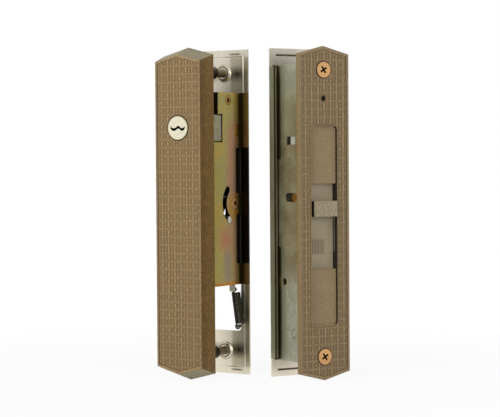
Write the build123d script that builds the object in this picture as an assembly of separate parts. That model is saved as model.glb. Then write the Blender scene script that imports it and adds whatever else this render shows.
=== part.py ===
from build123d import *

import os
from math import cos, pi, radians, sin, sqrt

# A meeting-stile lock for a pair of sliding patio doors, in millimetres, in its two halves.
# The outer half has the key cylinder, and a case whose hook swings out of the rear plate.
# The inner half has a slider in a finger recess, which pushes a bolt towards its rear plate.
# Each half clamps one door stile between its front and its rear plate.
# The frame belongs to the outer half. X runs to the right, seen from the key, Y runs into
# the door, and Z is up. The origin is midway up, where the cover's rim meets the stile.

# Sizes that both halves share.
HEIGHT = 240.0
WIDTH = 43.0
END_DROP = 5.6
SCREW_PITCH = 206.0
SCREW_RADIUS = 3.0
SCREW_HEAD_RADIUS = 5.65
SCREW_HEAD_RING = 0.4
SHANK_PLAY = 0.25
DRIVE_ARM = 2.9
DRIVE_WIDTH = 1.4
DRIVE_DEPTH = 2.0
DRIVE_TILT = 33.0
SLEEVE_RADIUS = 4.75
BORE_PLAY = 0.05
OVERRUN = 6.0
RELIEF_DEPTH = 0.5

# The rear plates: pressed trays with a raised border.
SHEET = 1.5
TRAY_SINK = 0.8
BORDER = 4.8
WINDOW_HEIGHT = 176.0
WINDOW_CORNER = 3.0
DIMPLE_FOOT_RADIUS = 6.5
DIMPLE_TOP_RADIUS = 4.7
DIMPLE_HEIGHT = 1.6

# The outer cover: a hollow casting with pointed ends and sloping sides.
STILE_OUTER = 45.1
COVER_DEPTH = 14.7
COVER_SIDE_SLOPE = 2.1
COVER_END_SLOPE = 5.4
COVER_WALL = 2.2
COVER_RIM = 1.8
COVER_EDGE = 0.7
BOSS_RADIUS = 7.0
BOSS_HEIGHT = 6.4
SLEEVE_END = 31.6
RIB_THICKNESS = 1.6
RIB_HEIGHT = 3.0
RIB_SPACING = 42.0

# The key cylinder.
CYLINDER_Z = 62.0
BARREL_RADIUS = 9.1
BARREL_HOLE_PLAY = 0.25
BARREL_SETBACK = 0.7
PLUG_FACE_RADIUS = 8.5
PLUG_FACE_THICKNESS = 2.5
PLUG_FACE_PROUD = 0.5
PLUG_RADIUS = 6.4
PLUG_FACE_PLAY = 0.08
KEYWAY_REACH = 6.3
KEYWAY_LIFT = 0.9
KEYWAY_SAG = 1.1
KEYWAY_HUMP = 0.5
KEYWAY_CREST = 1.3
KEYWAY_SHIFT = 0.5
KEYWAY_WIDTH = 2.0
KEYWAY_DEPTH = 16.0
TAIL_RADIUS = 2.6
HOUSING_HALF_WIDTH = 14.6
HOUSING_HEIGHT = 20.0
HOUSING_REAR = 20.3
HOUSING_GAP = 0.3
HOUSING_CORNER = 1.5

# The outer lock case: a folded tray and a flat side plate.
CASE_HALF_WIDTH = 15.2
CASE_SHEET = 1.2
CASE_FRONT = 4.0
CASE_TOP_FRONT = 14.8
CASE_TOP = 88.0
CASE_BOTTOM = -53.0
TOP_NOTCH_DEPTH = 7.6
TOP_NOTCH_LOW = 14.3
TOP_NOTCH_HIGH = 47.7
LOW_NOTCH_DEPTH = 7.1
LOW_NOTCH_LOW = -37.4
LOW_NOTCH_HIGH = -1.0
TAB_SLOT_Y = 39.9
TAB_SLOT_Z = 60.7
TAB_SLOT_WIDTH = 4.4
TAB_SLOT_HEIGHT = 8.5
POST_Y = 28.6
POST_Z = 82.4
POST_RADIUS = 4.0
CASE_SCREW_HEAD_RADIUS = 3.5
CASE_SCREW_RADIUS = 2.3
RIVET_Y = 25.4
RIVET_Z = -30.0
RIVET_RADIUS = 2.0
RIVET_END_RADIUS = 1.2
TAIL_HOLE_RADIUS = 7.5
GUARD_THICKNESS = 1.6
GUARD_BOTTOM = -38.8
GUARD_SLOT_HALF_WIDTH = 3.2
GUARD_SLOT_LOW = -2.0
GUARD_SLOT_HIGH = 49.0
GUARD_RIB_WIDTH = 1.2
GUARD_RIB_HEIGHT = 1.0
GUARD_RIB_SPACING = 9.0
GUARD_LIP_GAP = 0.4
GUARD_LIP_THICKNESS = 1.2
GUARD_LIP_DEPTH = 3.0
GUARD_WING_BOTTOM = 12.0
GUARD_WING_DEPTH = 6.0

# The hook lever and what drives it.
PIVOT_Y = 36.9
PIVOT_Z = 7.0
PIVOT_RADIUS = 2.5
PIVOT_HEAD_RADIUS = 4.0
PIVOT_BUSH_RADIUS = 4.0
LEVER_THICKNESS = 5.0
HUB_RADIUS = 7.5
ARM_INSET = 0.5
HOOK_REACH = 38.0
HOOK_TIP_OUT = 7.0
HOOK_CHAMFER = 4.0
BEAK_LENGTH = 9.5
BEAK_RAKE = 2.0
GUIDE_RADIUS = 14.0
GUIDE_PIN_RADIUS = 2.5
GUIDE_EYE_RADIUS = 4.2
GUIDE_REST_ANGLE = 238.1
LEVER_SWING = 103.1
GUIDE_PLAY = 0.25
DRIVE_PIN_RADIUS = 1.5
DRIVE_PIN_REACH = 8.1
FORK_PLAY = 0.55
BAR_SHEET = 2.0
BAR_GAP = 1.2
BAR_FRONT = 26.2
BAR_WAIST_FRONT = 28.2
BAR_NOSE_FRONT = 24.6
BAR_REAR = 34.0
BAR_TAB_BOTTOM = 50.6
BAR_TAB_TOP = 60.6
BAR_TAB_REACH = 13.0
CAM_FINGER_REACH = 9.0
CAM_FINGER_RADIUS = 1.5
CAM_FINGER_PLAY = 0.55
CAM_THICKNESS = 2.0
CAM_GAP = 1.2
CAM_HUB_RADIUS = 5.5
CAM_EYE_RADIUS = 2.8
NUT_RADIUS = 3.3
NUT_THICKNESS = 2.2
KEY_TURN = 90.0
FOOT_LOW = -49.6
FOOT_THICKNESS = 2.4
FOOT_FRONT = 33.0
FOOT_REAR = 40.4
FOOT_TIP = 13.4
LUG_BOTTOM = -58.4
LUG_HALF_WIDTH = 2.0
LUG_THICKNESS = 1.6
STUD_RADIUS = 1.2
STUD_LENGTH = 4.0

# The return spring, from its lower to its upper end.
SPRING_LOW = (15.6, 41.5, -82.0)
SPRING_HIGH = (10.9, 43.7, -59.2)
COIL_RADIUS = 2.5
WIRE_RADIUS = 0.5
COIL_TURNS = 15
HOOK_LOOP_RADIUS = 2.0
COIL_GAP_LIMIT = 0.4
WEB_CUT_LEFT = 6.0
WEB_CUT_FRONT = 37.5

# The inner half: where it stands beside the outer half, and its plates.
INNER_X = 84.4
INNER_Y = 45.2
INNER_TURN = 63.0
STILE_INNER = 35.6
FACE_THICKNESS = 3.0
FACE_RIM = 2.2
FACE_EDGE = 0.8
RECESS_WIDTH = 22.0
RECESS_TOP = 63.2
RECESS_BOTTOM = -80.8
RECESS_CORNER = 3.0
RECESS_DEPTH = 2.2
POCKET_TOP = 21.5
POCKET_BOTTOM = -40.1
POCKET_DEPTH = 6.3
PAN_WALL = 0.8
PAN_FLOOR = 1.2
PAN_FLANGE = 1.4
PAN_FLANGE_THICKNESS = 0.8
INNER_WINDOW_WIDTH = 20.0
BLANK_SCREW_Z = 82.4
BLANK_SCREW_RADIUS = 2.0
BLANK_SCREW_SETBACK = 1.0
BLANK_SCREW_LENGTH = 6.0
BLANK_SOCKET_RADIUS = 1.0
INNER_POST_FRONT = 12.0
INNER_SCREW_LENGTH = 29.0

# The slider in the finger recess.
KNOB_WIDTH = 20.0
KNOB_HEIGHT = 11.3
KNOB_Z = 3.4
KNOB_PROUD = 2.0
KNOB_EDGE = 0.6
KNOB_FLOOR_GAP = 0.4
KNOB_TRAVEL = 27.0
FINGER_FRONT = 1.1
FINGER_THICKNESS = 1.6
FINGER_HEIGHT = 8.0
FINGER_PLAY = 0.25
SLIDER_SHEET = 0.8
SLIDER_GAP = 0.25
SLIDER_ARM_REAR = 8.0
SLIDER_CAM_FRONT = 10.6
SLIDER_CAM_REAR = 26.0
SLIDER_CAM_LOW = 5.0
SLIDER_CAM_ABOVE = 8.0

# The inner case and the bolt carriage in it.
CHANNEL_HALF_WIDTH = 14.2
CHANNEL_SHEET = 1.0
CHANNEL_HALF_HEIGHT = 107.8
CHANNEL_WEB_TOP = 66.0
CHANNEL_WEB_BOTTOM = -83.6
CHANNEL_NOTCH_DEPTH = 3.0
CHANNEL_NOTCH_END = 1.0
CHANNEL_HIGH_NOTCH = 39.0
CHANNEL_LOW_NOTCH = -25.0
CARRIAGE_TRAVEL = 5.6
BLOCK_SLOT_FRONT = 13.4
BLOCK_LENGTH = 5.9
BLOCK_Z = 52.55
BLOCK_SLOT_HEIGHT = 6.1
BLOCK_PLAY = 0.15
PIN_SLOT_FRONT = 11.8
PIN_SLOT_REAR = 27.5
PIN_SLOT_HEIGHT = 6.4
PIN_Z = 11.4
PIN_PLAY = 0.1
PIN_SHANK_RADIUS = 2.0
CAM_SLOT_PLAY = 0.1
SIDE_HOLE_Y = 29.0
SIDE_HOLE_Z = -50.2
SIDE_HOLE_RADIUS = 2.7
TIE_RADIUS = 4.2
SIDE_DIMPLE_Y = 15.0
SIDE_DIMPLE_Z = -87.7
SIDE_DIMPLE_RADIUS = 4.2
SIDE_DIMPLE_DEPTH = 0.35
CARRIAGE_SHEET = 1.2
CARRIAGE_SIDE_GAP = 0.3
CARRIAGE_RIGHT = 11.1
CARRIAGE_FRONT = 11.6
CARRIAGE_REAR = 28.8
CARRIAGE_LOW = 4.0
CARRIAGE_HIGH = 58.0
BOLT_HALF_WIDTH = 3.0
BOLT_LOW = 6.0
BOLT_HIGH = 18.0
BOLT_END = 36.2
BOLT_CHAMFER = 1.6
DETENT_SHEET = 0.4
DETENT_LOW = -2.0
DETENT_HEIGHT = 6.0
DETENT_LEFT = -6.0
DETENT_REAR = 11.0
DETENT_GAP = 0.35

# Places that follow from the sizes above.
HALF_WIDTH = WIDTH / 2
HALF_HEIGHT = HEIGHT / 2
SCREW_ZS = (-SCREW_PITCH / 2, SCREW_PITCH / 2)
COVER_FRONT = -COVER_DEPTH
COVER_INSIDE = COVER_FRONT + COVER_WALL
BARREL_FRONT = COVER_FRONT + BARREL_SETBACK
PLUG_FRONT = BARREL_FRONT - PLUG_FACE_PROUD
HOUSING_TOP = CYLINDER_Z + HOUSING_HEIGHT / 2
HOUSING_BOTTOM = CYLINDER_Z - HOUSING_HEIGHT / 2
NOTCH_REAR = HOUSING_REAR + HOUSING_GAP
CASE_REAR = STILE_OUTER + TRAY_SINK
CASE_INSIDE = CASE_HALF_WIDTH - CASE_SHEET
CAM_FRONT = NOTCH_REAR + CASE_SHEET + CAM_GAP
CAM_REAR = CAM_FRONT + CAM_THICKNESS
LEVER_HALF = LEVER_THICKNESS / 2
BAR_RIGHT = -LEVER_HALF - BAR_GAP
BAR_LEFT = BAR_RIGHT - BAR_SHEET
DRIVE_REST_ANGLE = 180.0 + LEVER_SWING / 2
BAR_LIFT = 2 * DRIVE_PIN_REACH * sin(radians(LEVER_SWING / 2))
CAM_FINGER_LIFT = 2 * CAM_FINGER_REACH * sin(radians(KEY_TURN / 2))
CHANNEL_REAR = STILE_INNER + TRAY_SINK
CHANNEL_INSIDE = CHANNEL_HALF_WIDTH - CHANNEL_SHEET
PIN_HEAD_RADIUS = PIN_SLOT_HEIGHT / 2 - PIN_PLAY
PIN_Y = PIN_SLOT_FRONT + PIN_SLOT_HEIGHT / 2
PAN_BACK = POCKET_DEPTH - FACE_THICKNESS + PAN_FLOOR
PAN_HALF_WIDTH = RECESS_WIDTH / 2 + PAN_WALL
SLIDER_LEFT = PAN_HALF_WIDTH + SLIDER_GAP
SLIDER_RIGHT = SLIDER_LEFT + SLIDER_SHEET


# Ways to place a drawing and give it thickness.
def across(sketch, near, far):
    """Thickens a drawing of X and Z from the depth near to the depth far."""
    plane = Plane(origin=(0, far, 0), x_dir=(1, 0, 0), z_dir=(0, -1, 0))
    return extrude(plane * sketch, amount=far - near)


def sideways(sketch, left, right):
    """Thickens a drawing of Y and Z from X left to X right."""
    plane = Plane(origin=(left, 0, 0), x_dir=(0, 1, 0), z_dir=(1, 0, 0))
    return extrude(plane * sketch, amount=right - left)


def upwards(sketch, low, high):
    """Thickens a drawing of X and Y from the height low to the height high."""
    return extrude(Pos(0, 0, low) * sketch, amount=high - low)


def span(first_low, first_high, second_low, second_high):
    """A rectangle in a drawing, from its limits along the two directions."""
    middle = ((first_low + first_high) / 2, (second_low + second_high) / 2)
    return Pos(*middle) * Rectangle(first_high - first_low, second_high - second_low)


def disc(first, second, radius):
    """A circle in a drawing."""
    return Pos(first, second) * Circle(radius)


def turned(points, x, z):
    """A turned piece whose axis runs along Y; each point is a radius and a depth."""
    profile = make_face(Polyline(*points, close=True))
    return Pos(x, 0, z) * revolve(profile, Axis.Y)


def cross_recess(x, z, face, inward):
    """The tool for a cross slot in a screw head at the depth face."""
    plus = Rectangle(2 * DRIVE_ARM, DRIVE_WIDTH) + Rectangle(DRIVE_WIDTH, 2 * DRIVE_ARM)
    bottom = face + inward * DRIVE_DEPTH
    return across(Pos(x, z) * Rot(0, 0, DRIVE_TILT) * plus, min(face, bottom), max(face, bottom))


def clamp_screw(z, face, inward, length):
    """A countersunk machine screw; inward is 1 for a shank that runs along +Y."""
    cone = face + inward * (SCREW_HEAD_RADIUS - SCREW_RADIUS)
    tip = face + inward * length
    profile = [(0, face), (SCREW_HEAD_RADIUS, face), (SCREW_RADIUS, cone), (SCREW_RADIUS, tip), (0, tip)]
    return turned(profile, 0, z) - cross_recess(0, z, face, inward)


def head_seat(z, face, inward, ring):
    """The tool for a countersunk hole that a clamp screw passes."""
    wide = SCREW_HEAD_RADIUS + ring
    narrow = SCREW_RADIUS + SHANK_PLAY
    outside = face - inward * OVERRUN
    cone = face + inward * (wide - narrow)
    through = face + inward * 2 * OVERRUN
    profile = [(0, outside), (wide, outside), (wide, face), (narrow, cone), (narrow, through), (0, through)]
    return turned(profile, 0, z)


def pointed_outline(half_width, half_height, drop):
    """The front outline: straight sides with a low point at the top and the bottom."""
    shoulder = half_height - drop
    return Polygon(
        (half_width, -shoulder),
        (half_width, shoulder),
        (0, half_height),
        (-half_width, shoulder),
        (-half_width, -shoulder),
        (0, -half_height),
        align=None,
    )


def front_plane(depth):
    """A drawing plane of X and Z at a depth, seen from the front."""
    return Plane(origin=(0, depth, 0), x_dir=(1, 0, 0), z_dir=(0, -1, 0))


def tray_plate(stile, window_width, with_dimples):
    """A rear plate: a pressed tray with a border towards the stile and a long window."""
    border_rear = stile + SHEET
    field_front = stile + TRAY_SINK
    field_rear = field_front + SHEET
    outer = Rectangle(WIDTH, HEIGHT)
    rim = Rectangle(WIDTH - 2 * BORDER, HEIGHT - 2 * BORDER)
    inset = BORDER + TRAY_SINK
    field = Rectangle(WIDTH - 2 * inset, HEIGHT - 2 * inset)
    plate = across(outer, stile, border_rear)
    plate += loft([front_plane(border_rear) * rim, front_plane(field_rear) * field], ruled=True)
    plate -= loft([front_plane(stile) * rim, front_plane(field_front) * field], ruled=True)
    if with_dimples:
        for z in SCREW_ZS:
            top = field_front - DIMPLE_HEIGHT
            inside = field_front + SHEET / 2
            profile = [(0, top), (DIMPLE_TOP_RADIUS, top), (DIMPLE_FOOT_RADIUS, field_front)]
            profile += [(DIMPLE_FOOT_RADIUS, inside), (0, inside)]
            plate += turned(profile, 0, z)
            plate -= head_seat(z, field_rear, -1, 0)
    window = RectangleRounded(window_width, WINDOW_HEIGHT, WINDOW_CORNER)
    return plate - across(window, stile - OVERRUN, field_rear + OVERRUN)


# The outer half.
def make_outer_cover():
    """The cast cover: sloping walls, a hollow back, screw bosses and cross ribs."""
    front_half_width = HALF_WIDTH - COVER_SIDE_SLOPE
    front_half_height = HALF_HEIGHT - COVER_END_SLOPE
    front_drop = END_DROP * front_half_width / HALF_WIDTH
    rear_outline = pointed_outline(HALF_WIDTH, HALF_HEIGHT, END_DROP)
    front_outline = pointed_outline(front_half_width, front_half_height, front_drop)
    body = loft([front_plane(0) * rear_outline, front_plane(COVER_FRONT) * front_outline], ruled=True)
    body = fillet(body.edges().group_by(Axis.Y)[0], COVER_EDGE)
    hollow_rear = pointed_outline(HALF_WIDTH - COVER_WALL, HALF_HEIGHT - COVER_WALL, END_DROP)
    inner_half_width = front_half_width - COVER_WALL
    hollow_front = pointed_outline(inner_half_width, front_half_height - COVER_WALL, front_drop)
    hollow = loft([front_plane(0) * hollow_rear, front_plane(COVER_INSIDE) * hollow_front], ruled=True)
    body -= hollow
    field = offset(front_outline, amount=-COVER_RIM, kind=Kind.INTERSECTION)
    body -= across(field, COVER_FRONT - OVERRUN, COVER_FRONT + RELIEF_DEPTH)
    body -= across(disc(0, CYLINDER_Z, BARREL_RADIUS + BARREL_HOLE_PLAY), COVER_FRONT - OVERRUN, 0)
    ribs = Sketch()
    for step in (-2, -1, 0):
        ribs += Pos(0, step * RIB_SPACING) * Rectangle(WIDTH, RIB_THICKNESS)
    body += across(ribs, COVER_INSIDE, COVER_INSIDE + RIB_HEIGHT) & hollow
    for z in SCREW_ZS:
        boss = disc(0, z, BOSS_RADIUS) - disc(0, z, SLEEVE_RADIUS + BORE_PLAY)
        body += across(boss, COVER_INSIDE, COVER_INSIDE + BOSS_HEIGHT)
    return body


def make_cylinder_barrel():
    """The fixed barrel of the key cylinder, with the bore and the face seat of the plug."""
    seat = PLUG_FRONT + PLUG_FACE_THICKNESS
    barrel = across(disc(0, CYLINDER_Z, BARREL_RADIUS), BARREL_FRONT, HOUSING_REAR)
    barrel -= across(disc(0, CYLINDER_Z, PLUG_RADIUS + BORE_PLAY), BARREL_FRONT, HOUSING_REAR)
    face_bore = disc(0, CYLINDER_Z, PLUG_FACE_RADIUS + PLUG_FACE_PLAY)
    return barrel - across(face_bore, BARREL_FRONT - OVERRUN, seat + BORE_PLAY)


def keyway_sketch():
    """The waved key slot: two sags and a hump between an upper and a lower edge."""
    left, right = KEYWAY_SHIFT - KEYWAY_CREST, KEYWAY_SHIFT + KEYWAY_CREST
    marks = [(-KEYWAY_REACH, KEYWAY_LIFT), ((left - KEYWAY_REACH) / 2, -KEYWAY_SAG), (left, 0)]
    marks += [(KEYWAY_SHIFT, KEYWAY_HUMP), (right, 0), ((right + KEYWAY_REACH) / 2, -KEYWAY_SAG)]
    marks += [(KEYWAY_REACH, KEYWAY_LIFT)]
    edges = []
    for side in (1, -1):
        edge = [(x, z + side * KEYWAY_WIDTH / 2) for x, z in marks]
        edges += [ThreePointArc(*edge[first:first + 3]) for first in (0, 2, 4)]
    for end in (-KEYWAY_REACH, KEYWAY_REACH):
        low = KEYWAY_LIFT - KEYWAY_WIDTH / 2
        edges.append(Line((end, low), (end, low + KEYWAY_WIDTH)))
    return make_face(edges)


def make_cylinder_plug():
    """The turning plug: a broad nickel face with the key slot, and a stepped tail."""
    seat = PLUG_FRONT + PLUG_FACE_THICKNESS
    tail_end = CAM_REAR + NUT_THICKNESS
    profile = [(0, PLUG_FRONT), (PLUG_FACE_RADIUS, PLUG_FRONT), (PLUG_FACE_RADIUS, seat)]
    profile += [(PLUG_RADIUS, seat), (PLUG_RADIUS, HOUSING_REAR + HOUSING_GAP)]
    profile += [(TAIL_RADIUS, HOUSING_REAR + HOUSING_GAP), (TAIL_RADIUS, tail_end), (0, tail_end)]
    plug = turned(profile, 0, CYLINDER_Z)
    return plug - across(Pos(0, CYLINDER_Z) * keyway_sketch(), PLUG_FRONT, PLUG_FRONT + KEYWAY_DEPTH)


def cam_finger_place():
    """X and Z of the cam's finger at rest, low on the left."""
    angle = radians(180.0 + KEY_TURN / 2)
    return CAM_FINGER_REACH * cos(angle), CYLINDER_Z + CAM_FINGER_REACH * sin(angle)


def make_tail_cam():
    """The cam on the plug's tail, with the finger that lifts the drive bar."""
    x, z = cam_finger_place()
    hub = disc(0, CYLINDER_Z, CAM_HUB_RADIUS)
    eye = disc(x, z, CAM_EYE_RADIUS)
    blade = make_hull(hub.edges() + eye.edges()) - disc(0, CYLINDER_Z, TAIL_RADIUS)
    finger_end = BAR_FRONT + BAR_SHEET + CAM_FINGER_RADIUS
    return across(blade, CAM_FRONT, CAM_REAR) + across(disc(x, z, CAM_FINGER_RADIUS), CAM_REAR, finger_end)


def make_cam_nut():
    """The hexagon nut that holds the cam on the tail."""
    hexagon = Pos(0, CYLINDER_Z) * RegularPolygon(NUT_RADIUS, side_count=6)
    ring = hexagon - disc(0, CYLINDER_Z, TAIL_RADIUS)
    return across(ring, CAM_REAR, CAM_REAR + NUT_THICKNESS)


def make_cylinder_housing():
    """The zinc block that carries the barrel between the cover and the case."""
    block = RectangleRounded(2 * HOUSING_HALF_WIDTH, HOUSING_HEIGHT, HOUSING_CORNER)
    bored = Pos(0, CYLINDER_Z) * block - disc(0, CYLINDER_Z, BARREL_RADIUS + BORE_PLAY)
    return across(bored, COVER_INSIDE, HOUSING_REAR)


def case_outline(sheet):
    """The side outline of the case, or of its inside when sheet is its thickness."""
    rear = CASE_REAR + OVERRUN if sheet else CASE_REAR
    step = HOUSING_BOTTOM - HOUSING_GAP - sheet
    ledge = HOUSING_TOP + HOUSING_GAP + sheet
    return Polygon(
        (CASE_FRONT + sheet, CASE_BOTTOM + sheet),
        (rear, CASE_BOTTOM + sheet),
        (rear, CASE_TOP - sheet),
        (CASE_TOP_FRONT + sheet, CASE_TOP - sheet),
        (CASE_TOP_FRONT + sheet, ledge),
        (NOTCH_REAR + sheet, ledge),
        (NOTCH_REAR + sheet, step),
        (CASE_FRONT + sheet, step),
        align=None,
    )


def guide_place(turn):
    """Y and Z of the guide pin when the lever has swung by a turn in degrees."""
    angle = radians(GUIDE_REST_ANGLE - turn)
    return PIVOT_Y + GUIDE_RADIUS * cos(angle), PIVOT_Z + GUIDE_RADIUS * sin(angle)


def arc_slot():
    """The curved slot round the pivot that the guide pin runs in."""
    half_height = GUIDE_PIN_RADIUS + GUIDE_PLAY
    ring = Circle(GUIDE_RADIUS + half_height) - Circle(GUIDE_RADIUS - half_height)
    reach = 2 * GUIDE_RADIUS
    fan = [(0, 0)]
    for share in (0, 0.25, 0.5, 0.75, 1):
        angle = radians(GUIDE_REST_ANGLE - share * LEVER_SWING)
        fan.append((reach * cos(angle), reach * sin(angle)))
    slot = Pos(PIVOT_Y, PIVOT_Z) * (ring & Polygon(*fan, align=None))
    for turn in (0, LEVER_SWING):
        slot += disc(*guide_place(turn), half_height)
    return slot


def side_openings():
    """What is stamped out of both sides of the outer case."""
    rear = CASE_REAR + OVERRUN
    cuts = span(CASE_REAR - TOP_NOTCH_DEPTH, rear, TOP_NOTCH_LOW, TOP_NOTCH_HIGH)
    cuts += span(CASE_REAR - LOW_NOTCH_DEPTH, rear, LOW_NOTCH_LOW, LOW_NOTCH_HIGH)
    cuts += Pos(TAB_SLOT_Y, TAB_SLOT_Z) * Rectangle(TAB_SLOT_WIDTH, TAB_SLOT_HEIGHT)
    cuts += arc_slot()
    cuts += disc(PIVOT_Y, PIVOT_Z, PIVOT_RADIUS)
    cuts += disc(POST_Y, POST_Z, CASE_SCREW_RADIUS)
    return cuts + disc(RIVET_Y, RIVET_Z, RIVET_END_RADIUS)


def make_case_body():
    """The folded tray of the case: its left side and the walls round its edge."""
    shell = sideways(case_outline(0), -CASE_HALF_WIDTH, CASE_INSIDE)
    shell -= sideways(case_outline(CASE_SHEET), -CASE_INSIDE, CASE_HALF_WIDTH)
    shell -= sideways(side_openings(), -CASE_HALF_WIDTH - OVERRUN, -CASE_INSIDE)
    tail_hole = disc(0, CYLINDER_Z, TAIL_HOLE_RADIUS)
    shell -= across(tail_hole, NOTCH_REAR, NOTCH_REAR + CASE_SHEET)
    rear = CASE_REAR + OVERRUN
    spring_way = span(WEB_CUT_LEFT, CASE_INSIDE, WEB_CUT_FRONT, rear)
    return shell - upwards(spring_way, CASE_BOTTOM - OVERRUN, CASE_BOTTOM + CASE_SHEET)


def countersink(y, z, head, shank):
    """The tool for a flush head in the right side plate."""
    low = CASE_HALF_WIDTH - CASE_SHEET
    rod = Pos(low, y, z) * Rot(0, 90, 0)
    height = CASE_HALF_WIDTH - low
    return rod * Cone(shank, head, height, align=(Align.CENTER, Align.CENTER, Align.MIN))


def make_case_side_plate():
    """The flat right side of the case, with its flush screw seats."""
    plate = sideways(case_outline(0) - side_openings(), CASE_INSIDE, CASE_HALF_WIDTH)
    plate -= countersink(POST_Y, POST_Z, CASE_SCREW_HEAD_RADIUS, CASE_SCREW_RADIUS)
    return plate - countersink(PIVOT_Y, PIVOT_Z, PIVOT_HEAD_RADIUS, PIVOT_RADIUS)


def make_rear_guard():
    """The black strip that closes the case's open rear, with a slot for the hook and a lip beside it."""
    front = CASE_REAR - GUARD_THICKNESS
    strip = span(-CASE_INSIDE, CASE_INSIDE, GUARD_BOTTOM, CASE_TOP - CASE_SHEET)
    half = GUARD_SLOT_HALF_WIDTH
    slot = span(-half, half, GUARD_SLOT_LOW, GUARD_SLOT_HIGH)
    guard = across(strip - slot, front, CASE_REAR)
    near = half + GUARD_LIP_GAP
    lip = span(near, near + GUARD_LIP_THICKNESS, GUARD_SLOT_LOW, GUARD_SLOT_HIGH)
    guard += across(lip, front - GUARD_LIP_DEPTH, front)
    wing = span(near, near + GUARD_LIP_THICKNESS, GUARD_WING_BOTTOM, GUARD_SLOT_HIGH)
    guard += across(wing, front - GUARD_WING_DEPTH, front)
    low = GUARD_SLOT_HIGH + GUARD_RIB_SPACING
    for step in (0, 1, 2, 3):
        z = low + step * GUARD_RIB_SPACING
        rib = span(-CASE_INSIDE, CASE_INSIDE, z, z + GUARD_RIB_WIDTH)
        guard += across(rib, front - GUARD_RIB_HEIGHT, front)
    return guard


def make_case_post():
    """The threaded post between the two sides at the top of the case."""
    ring = disc(POST_Y, POST_Z, POST_RADIUS) - disc(POST_Y, POST_Z, CASE_SCREW_RADIUS)
    return sideways(ring, -CASE_INSIDE, CASE_INSIDE)


def flush_screw(y, z, head, shank, left):
    """A flush cross-head screw whose shank runs to X left."""
    screw = sideways(disc(y, z, shank), left, CASE_HALF_WIDTH)
    screw += countersink(y, z, head, shank)
    arm = head * DRIVE_ARM / SCREW_HEAD_RADIUS
    plus = Rectangle(2 * arm, DRIVE_WIDTH) + Rectangle(DRIVE_WIDTH, 2 * arm)
    plus = Pos(y, z) * Rot(0, 0, DRIVE_TILT) * plus
    return screw - sideways(plus, CASE_HALF_WIDTH - CASE_SHEET / 2, CASE_HALF_WIDTH)


def make_case_screw():
    """The yellow flush screw that holds the side plate on the post."""
    return flush_screw(POST_Y, POST_Z, CASE_SCREW_HEAD_RADIUS, CASE_SCREW_RADIUS, -CASE_HALF_WIDTH)


def make_case_rivet():
    """The shouldered rivet that ties the sides low in the case."""
    body = sideways(disc(RIVET_Y, RIVET_Z, RIVET_RADIUS), -CASE_INSIDE, CASE_INSIDE)
    return body + sideways(disc(RIVET_Y, RIVET_Z, RIVET_END_RADIUS), -CASE_HALF_WIDTH, CASE_HALF_WIDTH)


def make_pivot_screw():
    """The copper-coloured screw that the hook lever turns on."""
    return flush_screw(PIVOT_Y, PIVOT_Z, PIVOT_HEAD_RADIUS, PIVOT_RADIUS, -CASE_HALF_WIDTH)


def make_pivot_bush():
    """The bush that keeps the lever off the right side."""
    bore = disc(PIVOT_Y, PIVOT_Z, PIVOT_RADIUS + BORE_PLAY)
    ring = disc(PIVOT_Y, PIVOT_Z, PIVOT_BUSH_RADIUS) - bore
    return sideways(ring, LEVER_HALF + BORE_PLAY, CASE_INSIDE)


def drive_place(turn):
    """Y and Z of the lever's drive pin when the lever has swung by a turn in degrees."""
    angle = radians(DRIVE_REST_ANGLE - turn)
    return PIVOT_Y + DRIVE_PIN_REACH * cos(angle), PIVOT_Z + DRIVE_PIN_REACH * sin(angle)


def lever_outline():
    """The hook lever at rest: a hub, an eye for the guide pin, and the hook above it."""
    notch = HOOK_REACH - BEAK_LENGTH
    hook = Polygon(
        (-HUB_RADIUS, 0),
        (-ARM_INSET, 0),
        (-ARM_INSET, notch - BEAK_RAKE / 2),
        (HOOK_TIP_OUT / 2, notch - BEAK_RAKE),
        (HOOK_TIP_OUT, notch),
        (HOOK_TIP_OUT, HOOK_REACH - HOOK_CHAMFER),
        (HOOK_TIP_OUT - HOOK_CHAMFER, HOOK_REACH),
        (-HUB_RADIUS + HOOK_CHAMFER, HOOK_REACH),
        (-HUB_RADIUS, HOOK_REACH - HOOK_CHAMFER),
        align=None,
    )
    eye = disc(*guide_place(0), GUIDE_EYE_RADIUS)
    hub = disc(PIVOT_Y, PIVOT_Z, HUB_RADIUS)
    body = Pos(PIVOT_Y, PIVOT_Z) * hook + hub + make_hull(hub.edges() + eye.edges())
    return body - disc(PIVOT_Y, PIVOT_Z, PIVOT_RADIUS + BORE_PLAY)


def make_hook_lever():
    """The hook lever, with holes for its two pins."""
    outline = lever_outline() - disc(*guide_place(0), GUIDE_PIN_RADIUS)
    outline -= disc(*drive_place(0), DRIVE_PIN_RADIUS)
    return sideways(outline, -LEVER_HALF, LEVER_HALF)


def make_guide_pin():
    """The bright pin that shows in the curved slot."""
    return sideways(disc(*guide_place(0), GUIDE_PIN_RADIUS), -LEVER_HALF, CASE_HALF_WIDTH)


def make_drive_pin():
    """The pin that the bar's fork lifts."""
    reach = BAR_LEFT - BORE_PLAY * 2
    return sideways(disc(*drive_place(0), DRIVE_PIN_RADIUS), reach, LEVER_HALF)


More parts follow.
